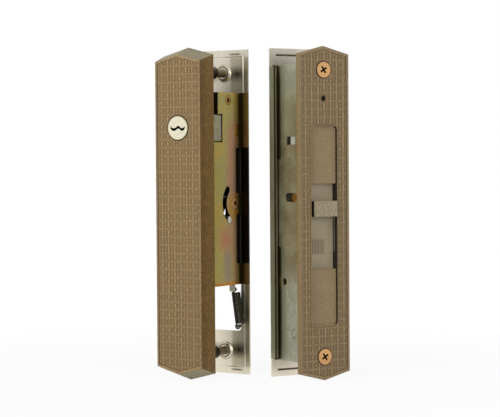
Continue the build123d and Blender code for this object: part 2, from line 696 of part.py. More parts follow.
def make_drive_bar():
    """The bar that joins the cam to the lever, with a fork, a slotted tab and a foot."""
    _, fork_z = drive_place(0)
    fork_half = DRIVE_PIN_RADIUS + FORK_PLAY
    wall = DRIVE_PIN_RADIUS * 2
    nose_low = fork_z - fork_half - wall
    nose_high = fork_z + fork_half + wall
    blade = span(BAR_WAIST_FRONT, BAR_REAR, FOOT_LOW, nose_low)
    blade += span(BAR_NOSE_FRONT, BAR_REAR, nose_low, nose_high)
    blade += span(BAR_FRONT, BAR_REAR, nose_high, BAR_TAB_BOTTOM)
    slot_front = PIVOT_Y - DRIVE_PIN_REACH - fork_half
    blade -= span(slot_front + fork_half, BAR_REAR, fork_z - fork_half, fork_z + fork_half)
    blade -= disc(slot_front + fork_half, fork_z, fork_half)
    bar = sideways(blade, BAR_LEFT, BAR_RIGHT)
    finger_x, finger_z = cam_finger_place()
    slot_half = CAM_FINGER_RADIUS + CAM_FINGER_PLAY
    tab = span(-BAR_TAB_REACH, BAR_RIGHT, BAR_TAB_BOTTOM, BAR_TAB_TOP)
    slot_left = -CAM_FINGER_REACH - slot_half
    slot_right = finger_x + CAM_FINGER_RADIUS + CAM_FINGER_PLAY / 2
    tab -= span(slot_left, slot_right, finger_z - slot_half, finger_z + slot_half)
    bar += across(tab, BAR_FRONT, BAR_FRONT + BAR_SHEET)
    foot = span(BAR_LEFT, FOOT_TIP, FOOT_FRONT, FOOT_REAR)
    foot += span(BAR_LEFT, BAR_RIGHT, BAR_WAIST_FRONT, FOOT_REAR)
    bar += upwards(foot, FOOT_LOW, FOOT_LOW + FOOT_THICKNESS)
    centre_x, _, centre_z = hook_centre(True)
    lug = span(centre_x - LUG_HALF_WIDTH, centre_x + LUG_HALF_WIDTH, LUG_BOTTOM, FOOT_LOW + FOOT_THICKNESS)
    lug -= disc(centre_x, centre_z, STUD_RADIUS)
    return bar + across(lug, FOOT_REAR - LUG_THICKNESS, FOOT_REAR)


def make_bar_stud():
    """The stud on the bar's foot that the spring's upper hook holds."""
    x, _, z = hook_centre(True)
    return across(disc(x, z, STUD_RADIUS), FOOT_REAR - LUG_THICKNESS, FOOT_REAR + STUD_LENGTH)


# The spring: a helix and two side hooks, all in arcs that run smoothly into each other.
def spring_frame():
    """The spring's lower end, and its directions: across, towards the front, and along."""
    low = Vector(*SPRING_LOW)
    along = (Vector(*SPRING_HIGH) - low).normalized()
    side = Vector(0, -1, 0).cross(along).normalized()
    return low, side, along.cross(side), along


def spring_length():
    """The length of the wound body."""
    return (Vector(*SPRING_HIGH) - Vector(*SPRING_LOW)).length


def spring_point(first, second, third):
    """A point from its distances across, towards the front and along the spring."""
    low, side, front, along = spring_frame()
    return low + side * first + front * second + along * third


def hook_centre(upper):
    """The middle of the upper or the lower hook."""
    along = spring_length() + HOOK_LOOP_RADIUS if upper else -HOOK_LOOP_RADIUS
    return tuple(spring_point(0, COIL_RADIUS, along))


def spring_stations():
    """Points of the wire's middle line with its direction at each, in order."""
    _, side, front, along = spring_frame()
    length = spring_length()
    loop = HOOK_LOOP_RADIUS
    stations = [
        (spring_point(-loop, COIL_RADIUS, -loop), along * -1),
        (spring_point(0, COIL_RADIUS, -2 * loop), side),
        (spring_point(loop, COIL_RADIUS, -loop), along),
    ]
    rise = length / COIL_TURNS
    slope = rise / (2 * pi * COIL_RADIUS)
    for half_turn in range(2 * COIL_TURNS + 1):
        angle = pi / 2 + pi * half_turn
        place = spring_point(COIL_RADIUS * cos(angle), COIL_RADIUS * sin(angle), rise * half_turn / 2)
        heading = side * -sin(angle) + front * cos(angle) + along * slope
        stations.append((place, heading.normalized()))
    stations += [
        (spring_point(-loop, COIL_RADIUS, length + loop), along),
        (spring_point(0, COIL_RADIUS, length + 2 * loop), side),
        (spring_point(loop, COIL_RADIUS, length + loop), along * -1),
    ]
    return stations


def biarc(start, start_heading, end, end_heading):
    """Two arcs from start to end that leave and arrive along the two headings."""
    chord = end - start
    both = start_heading + end_heading
    spread = 2 * (1 - start_heading.dot(end_heading))
    reach = sqrt(chord.dot(both) ** 2 + spread * chord.dot(chord))
    reach = (reach - chord.dot(both)) / spread
    middle = (start + start_heading * reach + end - end_heading * reach) * 0.5
    first = TangentArc(start, middle, tangent=start_heading)
    return first, TangentArc(middle, end, tangent=first % 1)


def least_wire_gap(stations):
    """The least gap between turns, measured on points of the middle line."""
    points = []
    for (start, heading, end, end_heading) in stations:
        for arc in biarc(start, heading, end, end_heading):
            points += [arc @ share for share in (0, 0.25, 0.5, 0.75)]
    apart = 8
    least = min(
        (points[i] - points[j]).length for i in range(len(points)) for j in range(i + apart, len(points))
    )
    return least - 2 * WIRE_RADIUS


def make_return_spring():
    """The wound spring with its two hooks, as one unbroken tube."""
    stations = spring_stations()
    pairs = [(*stations[i], *stations[i + 1]) for i in range(len(stations) - 1)]
    edges = []
    for start, heading, end, end_heading in pairs:
        edges += biarc(start, heading, end, end_heading)
    path = Wire(edges)
    place, heading = stations[0]
    section = Plane(origin=place, z_dir=heading) * Circle(WIRE_RADIUS)
    gap = least_wire_gap(pairs)
    print("spring: turns", COIL_TURNS, "least gap", round(gap, 2), "wanted over", COIL_GAP_LIMIT)
    return sweep(section, path=path)


def make_spring_post():
    """The post on the rear plate that the spring's lower hook holds."""
    x, y, z = hook_centre(False)
    return across(disc(x, z, STUD_RADIUS), y - WIRE_RADIUS - STUD_RADIUS, STILE_OUTER)


def make_outer_sleeves():
    """The black threaded sleeves in the cover's bosses."""
    sleeves = []
    for z in SCREW_ZS:
        ring = disc(0, z, SLEEVE_RADIUS) - disc(0, z, SCREW_RADIUS + BORE_PLAY)
        sleeves.append(across(ring, COVER_INSIDE, SLEEVE_END))
    return Compound(children=sleeves)


def make_outer_clamp_screws():
    """The two screws that come through the rear plate into the sleeves."""
    rear = STILE_OUTER + TRAY_SINK + SHEET
    length = rear - SLEEVE_END / 2
    return Compound(children=[clamp_screw(z, rear, -1, length) for z in SCREW_ZS])


# The inner half, drawn in its own frame: its front faces -Y and its stile starts at Y zero.
def make_inner_face_plate():
    """The cast face plate with its shallow recess and the opening of the finger pocket."""
    outline = pointed_outline(HALF_WIDTH, HALF_HEIGHT, END_DROP)
    plate = across(outline, -FACE_THICKNESS, 0)
    plate = fillet(plate.edges().group_by(Axis.Y)[0], FACE_EDGE)
    field = offset(outline, amount=-FACE_RIM, kind=Kind.INTERSECTION)
    field -= Pos(0, (RECESS_TOP + RECESS_BOTTOM) / 2) * RectangleRounded(
        RECESS_WIDTH + 2 * RELIEF_DEPTH,
        RECESS_TOP - RECESS_BOTTOM + 2 * RELIEF_DEPTH,
        RECESS_CORNER,
    )
    plate -= across(field, -FACE_THICKNESS - OVERRUN, -FACE_THICKNESS + RELIEF_DEPTH)
    recess = RectangleRounded(RECESS_WIDTH, RECESS_TOP - RECESS_BOTTOM, RECESS_CORNER)
    recess = Pos(0, (RECESS_TOP + RECESS_BOTTOM) / 2) * recess
    plate -= across(recess, -FACE_THICKNESS - OVERRUN, -FACE_THICKNESS + RECESS_DEPTH)
    half = RECESS_WIDTH / 2
    plate -= across(span(-half, half, POCKET_BOTTOM, POCKET_TOP), -FACE_THICKNESS, 0)
    for z in SCREW_ZS:
        plate -= head_seat(z, -FACE_THICKNESS, 1, SCREW_HEAD_RING)
    blank_hole = disc(0, BLANK_SCREW_Z, BLANK_SCREW_RADIUS + SHANK_PLAY)
    return plate - across(blank_hole, -FACE_THICKNESS, 0)


def make_finger_pan():
    """The pan behind the face plate that forms the deep part of the finger recess."""
    half = RECESS_WIDTH / 2
    pan = across(
        span(-PAN_HALF_WIDTH, PAN_HALF_WIDTH, POCKET_BOTTOM - PAN_WALL, POCKET_TOP + PAN_WALL), 0, PAN_BACK
    )
    flange = span(
        -half - PAN_FLANGE, half + PAN_FLANGE, POCKET_BOTTOM - PAN_FLANGE, POCKET_TOP + PAN_FLANGE
    )
    pan += across(flange, 0, PAN_FLANGE_THICKNESS)
    pan -= across(span(-half, half, POCKET_BOTTOM, POCKET_TOP), 0, PAN_BACK - PAN_FLOOR)
    low = KNOB_Z - FINGER_HEIGHT / 2 - KNOB_TRAVEL - FINGER_PLAY
    high = KNOB_Z + FINGER_HEIGHT / 2 + FINGER_PLAY
    way = span(FINGER_FRONT - FINGER_PLAY, FINGER_FRONT + FINGER_THICKNESS + FINGER_PLAY, low, high)
    return pan - sideways(way, half - PAN_WALL, half + PAN_FLANGE)


def make_slider_knob():
    """The thumb slider: a plain block with softened edges."""
    front = -FACE_THICKNESS - KNOB_PROUD
    rear = PAN_BACK - PAN_FLOOR - KNOB_FLOOR_GAP
    knob = across(Pos(0, KNOB_Z) * Rectangle(KNOB_WIDTH, KNOB_HEIGHT), front, rear)
    return fillet(knob.edges().group_by(Axis.Y)[0], KNOB_EDGE)


def cam_slot_outline():
    """The slanted slot, from the pin's place at rest to its place when the knob is down."""
    half = PIN_SHANK_RADIUS + CAM_SLOT_PLAY
    start = disc(PIN_Y, PIN_Z, half)
    end = disc(PIN_Y + CARRIAGE_TRAVEL, PIN_Z + KNOB_TRAVEL, half)
    return make_hull(start.edges() + end.edges())


def make_slider_plate():
    """The plate that the knob pushes down, with the slanted slot that moves the bolt."""
    finger_low = KNOB_Z - FINGER_HEIGHT / 2
    finger_high = KNOB_Z + FINGER_HEIGHT / 2
    cam_top = PIN_Z + KNOB_TRAVEL + SLIDER_CAM_ABOVE
    outline = Polygon(
        (FINGER_FRONT, finger_low),
        (SLIDER_ARM_REAR, finger_low),
        (SLIDER_CAM_FRONT + FINGER_THICKNESS, SLIDER_CAM_LOW),
        (SLIDER_CAM_REAR, SLIDER_CAM_LOW),
        (SLIDER_CAM_REAR, cam_top),
        (SLIDER_CAM_FRONT, cam_top),
        (SLIDER_CAM_FRONT, finger_high + SLIDER_ARM_REAR),
        (FINGER_FRONT, finger_high),
        align=None,
    )
    plate = sideways(outline - cam_slot_outline(), SLIDER_LEFT, SLIDER_RIGHT)
    finger = span(FINGER_FRONT, FINGER_FRONT + FINGER_THICKNESS, finger_low, finger_high)
    return plate + sideways(finger, KNOB_WIDTH / 2, SLIDER_LEFT)


def make_detent_spring():
    """The leaf on the back of the pan that holds the slider plate where it is put."""
    tip = SLIDER_LEFT - DETENT_GAP
    leaf = span(DETENT_LEFT, tip, PAN_BACK, PAN_BACK + DETENT_SHEET)
    leaf += span(tip - DETENT_SHEET, tip, PAN_BACK, DETENT_REAR)
    return upwards(leaf, DETENT_LOW, DETENT_LOW + DETENT_HEIGHT)


def channel_side_cuts():
    """What is stamped out of both sides of the inner case."""
    rear = CHANNEL_REAR + OVERRUN
    front = CHANNEL_REAR - CHANNEL_NOTCH_DEPTH
    end = CHANNEL_HALF_HEIGHT - CHANNEL_NOTCH_END
    cuts = span(front, rear, CHANNEL_HIGH_NOTCH, end)
    cuts += span(front, rear, -end, CHANNEL_LOW_NOTCH)
    block_rear = BLOCK_SLOT_FRONT + BLOCK_LENGTH + CARRIAGE_TRAVEL + 2 * BLOCK_PLAY
    low = BLOCK_Z - BLOCK_SLOT_HEIGHT / 2
    cuts += span(BLOCK_SLOT_FRONT, block_rear, low, low + BLOCK_SLOT_HEIGHT)
    slot = SlotOverall(PIN_SLOT_REAR - PIN_SLOT_FRONT, PIN_SLOT_HEIGHT)
    cuts += Pos((PIN_SLOT_FRONT + PIN_SLOT_REAR) / 2, PIN_Z) * slot
    return cuts + disc(SIDE_HOLE_Y, SIDE_HOLE_Z, SIDE_HOLE_RADIUS)


def make_inner_case():
    """The folded channel between the face plate and the rear plate."""
    whole = span(-CHANNEL_HALF_WIDTH, CHANNEL_HALF_WIDTH, -CHANNEL_HALF_HEIGHT, CHANNEL_HALF_HEIGHT)
    channel = across(whole, 0, CHANNEL_REAR)
    inside = span(-CHANNEL_INSIDE, CHANNEL_INSIDE, -CHANNEL_HALF_HEIGHT, CHANNEL_HALF_HEIGHT)
    channel -= across(inside, CHANNEL_SHEET, CHANNEL_REAR)
    gap = span(-CHANNEL_INSIDE, CHANNEL_INSIDE, CHANNEL_WEB_BOTTOM, CHANNEL_WEB_TOP)
    channel -= across(gap, 0, CHANNEL_SHEET)
    channel -= sideways(channel_side_cuts(), -CHANNEL_HALF_WIDTH, CHANNEL_HALF_WIDTH)
    holes = disc(0, BLANK_SCREW_Z, BLANK_SCREW_RADIUS + BORE_PLAY)
    for z in SCREW_ZS:
        holes += disc(0, z, SCREW_RADIUS + SHANK_PLAY)
    channel -= across(holes, 0, CHANNEL_SHEET)
    dimple = disc(SIDE_DIMPLE_Y, SIDE_DIMPLE_Z, SIDE_DIMPLE_RADIUS)
    return channel - sideways(dimple, -CHANNEL_HALF_WIDTH, -CHANNEL_HALF_WIDTH + SIDE_DIMPLE_DEPTH)


def make_tie_tube():
    """The brass tube that ties the channel's sides behind the round hole."""
    ring = disc(SIDE_HOLE_Y, SIDE_HOLE_Z, TIE_RADIUS) - disc(SIDE_HOLE_Y, SIDE_HOLE_Z, SIDE_HOLE_RADIUS)
    return sideways(ring, -CHANNEL_INSIDE, CHANNEL_INSIDE)


def make_bolt_carriage():
    """The folded carriage that carries the bolt, with holes for its cross pin."""
    left = -CHANNEL_INSIDE + CARRIAGE_SIDE_GAP
    right = CARRIAGE_RIGHT
    outer = span(left, right, CARRIAGE_FRONT, CARRIAGE_REAR)
    rear = CARRIAGE_REAR - CARRIAGE_SHEET
    inner = span(left + CARRIAGE_SHEET, right - CARRIAGE_SHEET, CARRIAGE_FRONT, rear)
    carriage = upwards(outer - inner, CARRIAGE_LOW, CARRIAGE_HIGH)
    carriage -= sideways(disc(PIN_Y, PIN_Z, PIN_SHANK_RADIUS), left, CARRIAGE_RIGHT)
    bolt = Polygon(
        (-BOLT_HALF_WIDTH, CARRIAGE_REAR),
        (BOLT_HALF_WIDTH, CARRIAGE_REAR),
        (BOLT_HALF_WIDTH, BOLT_END - BOLT_CHAMFER),
        (BOLT_HALF_WIDTH - BOLT_CHAMFER, BOLT_END),
        (-BOLT_HALF_WIDTH + BOLT_CHAMFER, BOLT_END),
        (-BOLT_HALF_WIDTH, BOLT_END - BOLT_CHAMFER),
        align=None,
    )
    return carriage + upwards(bolt, BOLT_LOW, BOLT_HIGH)


def make_guide_block():
    """The bright block on the carriage that runs in the square slot of the left side."""
    left = -CHANNEL_INSIDE + CARRIAGE_SIDE_GAP
    front = BLOCK_SLOT_FRONT + BLOCK_PLAY
    half = BLOCK_SLOT_HEIGHT / 2 - BLOCK_PLAY
    block = span(front, front + BLOCK_LENGTH, BLOCK_Z - half, BLOCK_Z + half)
    return sideways(block, -CHANNEL_HALF_WIDTH, left)


def make_carriage_pin():
    """The brass cross pin, with its broad head in the rounded slot of the left side."""
    left = -CHANNEL_INSIDE + CARRIAGE_SIDE_GAP
    head = sideways(disc(PIN_Y, PIN_Z, PIN_HEAD_RADIUS), -CHANNEL_HALF_WIDTH, left)
    return head + sideways(disc(PIN_Y, PIN_Z, PIN_SHANK_RADIUS), left, CHANNEL_HALF_WIDTH)


def make_inner_posts():
    """The threaded posts that stand on the inner rear plate."""
    posts = []
    for z in SCREW_ZS:
        ring = disc(0, z, SLEEVE_RADIUS) - disc(0, z, SCREW_RADIUS + BORE_PLAY)
        posts.append(across(ring, INNER_POST_FRONT, STILE_INNER + TRAY_SINK))
    return Compound(children=posts)


def make_inner_clamp_screws():
    """The two copper-coloured screws in the face plate."""
    return Compound(
        children=[clamp_screw(z, -FACE_THICKNESS, 1, INNER_SCREW_LENGTH) for z in SCREW_ZS]
    )


def make_blank_screw():
    """The small black socket screw in the face plate."""
    front = -FACE_THICKNESS + BLANK_SCREW_SETBACK
    screw = across(disc(0, BLANK_SCREW_Z, BLANK_SCREW_RADIUS), front, front + BLANK_SCREW_LENGTH)
    socket = Pos(0, BLANK_SCREW_Z) * RegularPolygon(BLANK_SOCKET_RADIUS, side_count=6)
    return screw - across(socket, front, front + BLANK_SCREW_RADIUS)


def beside(shape):
    """Moves a piece of the inner half to where it stands beside the outer half."""
    return Pos(INNER_X, INNER_Y, 0) * Rot(0, 0, INNER_TURN) * shape


OUTER_PIECES = {
    "outer_cover": make_outer_cover,
    "cylinder_barrel": make_cylinder_barrel,
    "cylinder_plug": make_cylinder_plug,
    "tail_cam": make_tail_cam,
    "cam_nut": make_cam_nut,
    "cylinder_housing": make_cylinder_housing,
    "case_body": make_case_body,
    "case_side_plate": make_case_side_plate,
    "rear_guard": make_rear_guard,
    "case_post": make_case_post,
    "case_screw": make_case_screw,
    "case_rivet": make_case_rivet,
    "pivot_screw": make_pivot_screw,
    "pivot_bush": make_pivot_bush,
    "hook_lever": make_hook_lever,
    "guide_pin": make_guide_pin,
    "drive_pin": make_drive_pin,
    "drive_bar": make_drive_bar,
    "bar_stud": make_bar_stud,
    "return_spring": make_return_spring,
    "spring_post": make_spring_post,
    "outer_rear_plate": lambda: tray_plate(STILE_OUTER, 2 * CASE_INSIDE, True),
    "outer_sleeves": make_outer_sleeves,
    "outer_clamp_screws": make_outer_clamp_screws,
}
INNER_PIECES = {
    "inner_face_plate": make_inner_face_plate,
    "finger_pan": make_finger_pan,
    "slider_knob": make_slider_knob,
    "slider_plate": make_slider_plate,
    "detent_spring": make_detent_spring,
    "inner_case": make_inner_case,
    "tie_tube": make_tie_tube,
    "bolt_carriage": make_bolt_carriage,
    "guide_block": make_guide_block,
    "carriage_pin": make_carriage_pin,
    "inner_rear_plate": lambda: tray_plate(STILE_INNER, INNER_WINDOW_WIDTH, False),
    "inner_posts": make_inner_posts,
    "inner_clamp_screws": make_inner_clamp_screws,
    "blank_screw": make_blank_screw,
}

os.makedirs("parts", exist_ok=True)
for name, make in OUTER_PIECES.items():
    export_step(make(), "parts/" + name + ".step")
for name, make in INNER_PIECES.items():
    export_step(beside(make()), "parts/" + name + ".step")
print("bar lift", round(BAR_LIFT, 3), "cam finger lift", round(CAM_FINGER_LIFT, 3))
print("hook lever per degree of key", round(LEVER_SWING / KEY_TURN, 4))
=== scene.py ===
# %% [markdown]
# # A lock for a pair of sliding patio doors
#
# The lock comes in two halves. The outer half has a patterned bronze cover with a key cylinder and a
# yellow steel case behind it. The inner half has a patterned bronze face plate with a thumb slider in a
# finger recess. The CAD model gives every hard piece its size and place. This notebook gives the pieces
# their finishes, adds the cast pattern, the wound spring and the screw threads, and lights the pair the
# way a catalogue photograph does.
#
# The CAD model is loaded first, because every finish and every new piece is placed by it. Its outside
# box is kept, and printed at the end.

# %% Load the CAD model
from math import cos, pi, radians, sin

import bpy
import numpy as np
from mathutils import Matrix, Vector


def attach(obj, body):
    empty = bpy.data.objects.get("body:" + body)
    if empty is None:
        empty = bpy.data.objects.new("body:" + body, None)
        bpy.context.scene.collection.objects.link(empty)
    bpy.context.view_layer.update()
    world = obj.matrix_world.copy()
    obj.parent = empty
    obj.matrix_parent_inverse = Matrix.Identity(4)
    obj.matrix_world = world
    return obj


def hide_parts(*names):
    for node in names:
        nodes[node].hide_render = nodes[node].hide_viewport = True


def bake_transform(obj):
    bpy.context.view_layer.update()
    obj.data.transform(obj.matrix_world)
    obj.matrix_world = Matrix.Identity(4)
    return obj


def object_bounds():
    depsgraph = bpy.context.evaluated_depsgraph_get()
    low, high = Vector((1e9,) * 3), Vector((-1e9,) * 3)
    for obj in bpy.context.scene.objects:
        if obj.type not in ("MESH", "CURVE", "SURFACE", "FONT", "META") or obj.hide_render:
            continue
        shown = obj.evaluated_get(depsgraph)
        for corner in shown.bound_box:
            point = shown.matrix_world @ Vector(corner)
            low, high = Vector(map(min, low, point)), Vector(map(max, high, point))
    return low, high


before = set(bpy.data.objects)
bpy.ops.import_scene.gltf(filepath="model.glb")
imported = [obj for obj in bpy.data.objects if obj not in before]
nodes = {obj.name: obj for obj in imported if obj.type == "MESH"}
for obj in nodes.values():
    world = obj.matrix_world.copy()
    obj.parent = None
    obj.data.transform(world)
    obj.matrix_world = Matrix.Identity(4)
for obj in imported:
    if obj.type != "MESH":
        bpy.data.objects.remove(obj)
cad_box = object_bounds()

MM = 0.001
print("pieces of the CAD model:", len(nodes))

# %% [markdown]
# ## The camera
#
# The photograph was taken from a little over a metre away with a long lens, so the plates hardly
# converge. A camera in Blender could be placed by eye and then nudged. Here it is worked out instead:
# the direction it faces, how far it looks down, how far it leans, and its focal length in pixels of a
# picture 500 wide. Those numbers give its three axes as plain vectors.

# %% Place the camera
FACING = radians(32.6)
LOOKING_DOWN = radians(1.70)
LEANING = radians(0.38)
CAMERA_DISTANCE = 1.274
AIM_POINT = Vector((0.0367, 0.0235, 0.0037))
FOCAL_PIXELS = 1763.0
PICTURE_WIDTH = 500.0

right = Vector((cos(FACING), sin(FACING), 0.0))
ahead = Vector(
    (-sin(FACING) * cos(LOOKING_DOWN), cos(FACING) * cos(LOOKING_DOWN), -sin(LOOKING_DOWN))
)
upward = right.cross(ahead)
leaned_right = right * cos(LEANING) - upward * sin(LEANING)
leaned_up = right * sin(LEANING) + upward * cos(LEANING)

camera_data = bpy.data.cameras.new("photo_camera")
camera_data.sensor_width = 36.0
camera_data.lens = camera_data.sensor_width * FOCAL_PIXELS / PICTURE_WIDTH
camera_data.clip_start, camera_data.clip_end = 0.05, 60.0
camera = bpy.data.objects.new("photo_camera", camera_data)
turn = Matrix((leaned_right, leaned_up, -ahead)).transposed().to_4x4()
camera.matrix_world = Matrix.Translation(AIM_POINT - ahead * CAMERA_DISTANCE) @ turn
bpy.context.scene.collection.objects.link(camera)
bpy.context.scene.camera = camera
print("lens", round(camera_data.lens, 1), "mm")

# %% [markdown]
# ## Small helpers for node trees
#
# A finish in Blender is a tree of shader nodes. Writing each node by hand makes long cells, so a few
# helpers do the typing. The first gives each socket of a node a plain value or the output of another
# node, and the second adds a node. The next four are short forms for kinds that come back often. Every
# finish below starts from the same Principled shader and only adds what its own metal or paint needs.

# %% Node helpers
SMOOTH = "SMOOTHSTEP"


def feed(tree, node, sockets):
    """Gives each named socket of a node a plain value or the output of another node."""
    for name, value in sockets.items():
        if isinstance(value, bpy.types.NodeSocket):
            tree.links.new(value, node.inputs[name])
        else:
            node.inputs[name].default_value = value


def add_node(tree, kind, sockets=None, **settings):
    """Adds a node of a kind to a tree, sets its options, and feeds its sockets."""
    node = tree.nodes.new("ShaderNode" + kind)
    for name, value in settings.items():
        setattr(node, name, value)
    feed(tree, node, sockets or {})
    return node


def maths(tree, operation, *values, **settings):
    """The result of an operation on numbers, which are plain or come from other nodes."""
    sockets = dict(enumerate(values))
    return add_node(tree, "Math", sockets, operation=operation, **settings).outputs[0]


def vector_maths(tree, operation, *values):
    """The same for vectors; a length and a dot product come out as a number."""
    node = add_node(tree, "VectorMath", dict(enumerate(values)), operation=operation)
    return node.outputs["Value" if operation in ("LENGTH", "DOT_PRODUCT") else "Vector"]


def noise(tree, **sockets):
    """The value of a noise texture."""
    return add_node(tree, "TexNoise", sockets).outputs["Fac"]


def rescale(tree, value, source=(0.0, 1.0), target=(0.0, 1.0), way="LINEAR"):
    """Carries a value from a source range to a target range, and holds it there."""
    limits = dict(zip(("From Min", "From Max", "To Min", "To Max"), (*source, *target)))
    sockets = {"Value": value, **limits}
    return add_node(tree, "MapRange", sockets, interpolation_type=way).outputs["Result"]


# %% A new finish, a new shared effect, and an effect in its place
def new_finish(name, roughness, metallic=0.0):
    """A material with one Principled shader, and its Object coordinates."""
    material = bpy.data.materials.new(name)
    material.use_nodes = True
    tree = material.node_tree
    shader = tree.nodes["Principled BSDF"]
    feed(tree, shader, {"Roughness": roughness, "Metallic": metallic})
    return material, tree, shader, add_node(tree, "TexCoord").outputs["Object"]


def new_group(name, output, **inputs):
    """A node group with one number out, and inputs with first values; a tuple makes one a vector."""
    group = bpy.data.node_groups.new(name, "ShaderNodeTree")
    for label, value in inputs.items():
        kind = "NodeSocketVector" if isinstance(value, tuple) else "NodeSocketFloat"
        group.interface.new_socket(label, in_out="INPUT", socket_type=kind).default_value = value
    group.interface.new_socket(output, in_out="OUTPUT", socket_type="NodeSocketFloat")
    return group, group.nodes.new("NodeGroupInput").outputs, group.nodes.new("NodeGroupOutput")


def effect(tree, group, source, **values):
    """Places a group, feeds its first input and those that are named, and gives its output."""
    return add_node(tree, "Group", {0: source, **values}, node_tree=group).outputs[0]


# %% [markdown]
# ## Effects that several finishes share
#
# Four effects come back on many pieces: a fine grain in paint and castings, brushed lines in sheet
# metal, cloudy stains in plating, and soft bands that mark a stretch of a surface. Each is built once as
# a node group, with its own inputs, and then placed in every finish that needs it. A group gives out
# only values that change over the surface, and the shader stays outside it.

# %% Fine grain
ORIGIN = (0.0, 0.0, 0.0)
fine_grain, given, end = new_group("fine_grain", "Grain", Place=ORIGIN, Scale=1500.0)
speckle = noise(fine_grain, Vector=given["Place"], Scale=given["Scale"], Detail=3.0, Roughness=0.6)
feed(fine_grain, end, {"Grain": rescale(fine_grain, speckle, (0.33, 0.67))})

# %% Brushed lines: noise that is drawn out along one direction
brushed_lines, given, end = new_group(
    "brushed_lines", "Lines", Place=ORIGIN, Stretch=(40.0, 40.0, 2500.0)
)
drawn_out = vector_maths(brushed_lines, "MULTIPLY", given["Place"], given["Stretch"])
strokes = noise(brushed_lines, Vector=drawn_out, Scale=1.0, Detail=4.0, Roughness=0.65)
feed(brushed_lines, end, {"Lines": strokes})

# %% Cloudy stains: broad noise with a soft threshold
cloudy_stain, given, end = new_group(
    "cloudy_stain", "Stain", Place=ORIGIN, Scale=60.0, Low=0.4, High=0.65
)
cloud = noise(cloudy_stain, Vector=given["Place"], Scale=given["Scale"], Detail=5.0, Roughness=0.55)
stain = rescale(cloudy_stain, cloud, (given["Low"], given["High"]), way=SMOOTH)
feed(cloudy_stain, end, {"Stain": stain})

# %% A soft band: one where a value lies between two limits, and zero well outside them
soft_band, given, end = new_group("soft_band", "Band", Value=0.0, From=0.0, To=1.0, Blur=0.001)
above = maths(soft_band, "SUBTRACT", given["Value"], given["From"])
below = maths(soft_band, "SUBTRACT", given["To"], given["Value"])
share = maths(soft_band, "DIVIDE", maths(soft_band, "MINIMUM", above, below), given["Blur"])
feed(soft_band, end, {"Band": maths(soft_band, "ADD", share, 0.5, use_clamp=True)})
print("shared effects:", [g.name for g in bpy.data.node_groups])


# %% [markdown]
# A few more helpers mix colours by a mask and turn a height into a bump, because nearly every finish
# does both. Most finishes then lay marks over their colour. A mark is a mask and a tint, and the tint
# either covers what lies below it or multiplies it, which lets the grain show through.

# %% Mixing, bump and marks
TIMES = "MULTIPLY"


def blend_colours(tree, mask, first, second, kind="MIX"):
    """A colour that goes from first to second as the mask goes from zero to one."""
    first, second = ((*c, 1.0) if isinstance(c, tuple) else c for c in (first, second))
    sockets = {"Factor": mask, "A": first, "B": second}
    return add_node(tree, "Mix", sockets, data_type="RGBA", blend_type=kind).outputs["Result"]


def lay_marks(tree, shader, colour, *marks):
    """Lays marks over a colour, in turn, and gives the result to the shader."""
    for mask, *tint in marks:
        colour = blend_colours(tree, mask, colour, *tint)
    feed(tree, shader, {"Base Color": colour})


def bump(tree, shader, height, distance):
    """Feeds a height into the shader's normal; distance is in metres."""
    sockets = {"Height": height, "Distance": distance, "Strength": 1.0}
    feed(tree, shader, {"Normal": add_node(tree, "Bump", sockets).outputs["Normal"]})


def vary(tree, value, low, high, shader):
    """Spreads a value from zero to one between two roughnesses."""
    feed(tree, shader, {"Roughness": rescale(tree, value, target=(low, high))})


# %% [markdown]
# A mask says where a mark goes. It comes from the place of a point, from the direction that the surface
# faces there, or from the product of both.

# %% Masks from place and direction
RIGHT, LEFT = (1.0, 0.0, 0.0), (-1.0, 0.0, 0.0)
REARWARD, FORWARD = (0.0, 1.0, 0.0), (0.0, -1.0, 0.0)
UP, DOWN = (0.0, 0.0, 1.0), (0.0, 0.0, -1.0)
IN_PLATE, IN_SIDE = (1.0, 0.0, 1.0), (0.0, 1.0, 1.0)


def reach_along(tree, vector, direction, low, high):
    """A mask that rises from zero to one as a vector's reach along a direction goes from low to high."""
    return rescale(tree, vector_maths(tree, "DOT_PRODUCT", vector, direction), (low, high), way=SMOOTH)


def surface_normal(tree):
    """The direction that the surface faces, in the frame of the CAD model."""
    return add_node(tree, "TexCoord").outputs["Normal"]


def facing(tree, direction, low, high):
    """A mask of the surfaces that face a direction; low and high are cosines."""
    return reach_along(tree, surface_normal(tree), direction, low, high)


def product(tree, *masks):
    """The product of several masks."""
    result = masks[0]
    for mask in masks[1:]:
        result = maths(tree, "MULTIPLY", result, mask)
    return result


# %% Strips, patches and round marks
def strip(tree, vector, way, low, high, blur=0.0004):
    """A mask of what lies between two distances along X, Y or Z."""
    reach = add_node(tree, "SeparateXYZ", {0: vector}).outputs[way]
    return effect(tree, soft_band, reach, From=low, To=high, Blur=blur)


def patch(tree, vector, **spans):
    """A mask of what lies within every span; each is two distances along an axis, and maybe a blur."""
    return product(tree, *(strip(tree, vector, way, *span) for way, span in spans.items()))


def mirrored(tree, place):
    """The same place with each coordinate stripped of its sign, so that both ends share one mark."""
    return vector_maths(tree, "ABSOLUTE", place)


def round_mark(tree, place, centre, keep, inner, outer, blur):
    """A mask of the ring between two radii round an axis; keep is one along the two ways across it."""
    across = vector_maths(tree, "MULTIPLY", vector_maths(tree, "SUBTRACT", place, centre), keep)
    distance = vector_maths(tree, "LENGTH", across)
    return effect(tree, soft_band, distance, From=inner, To=outer, Blur=blur)


def dress(material, *names):
    """Puts a material on CAD pieces, by name."""
    for name in names:
        nodes[name].data.materials.clear()
        nodes[name].data.materials.append(material)
    print(material.name, "on", list(names))


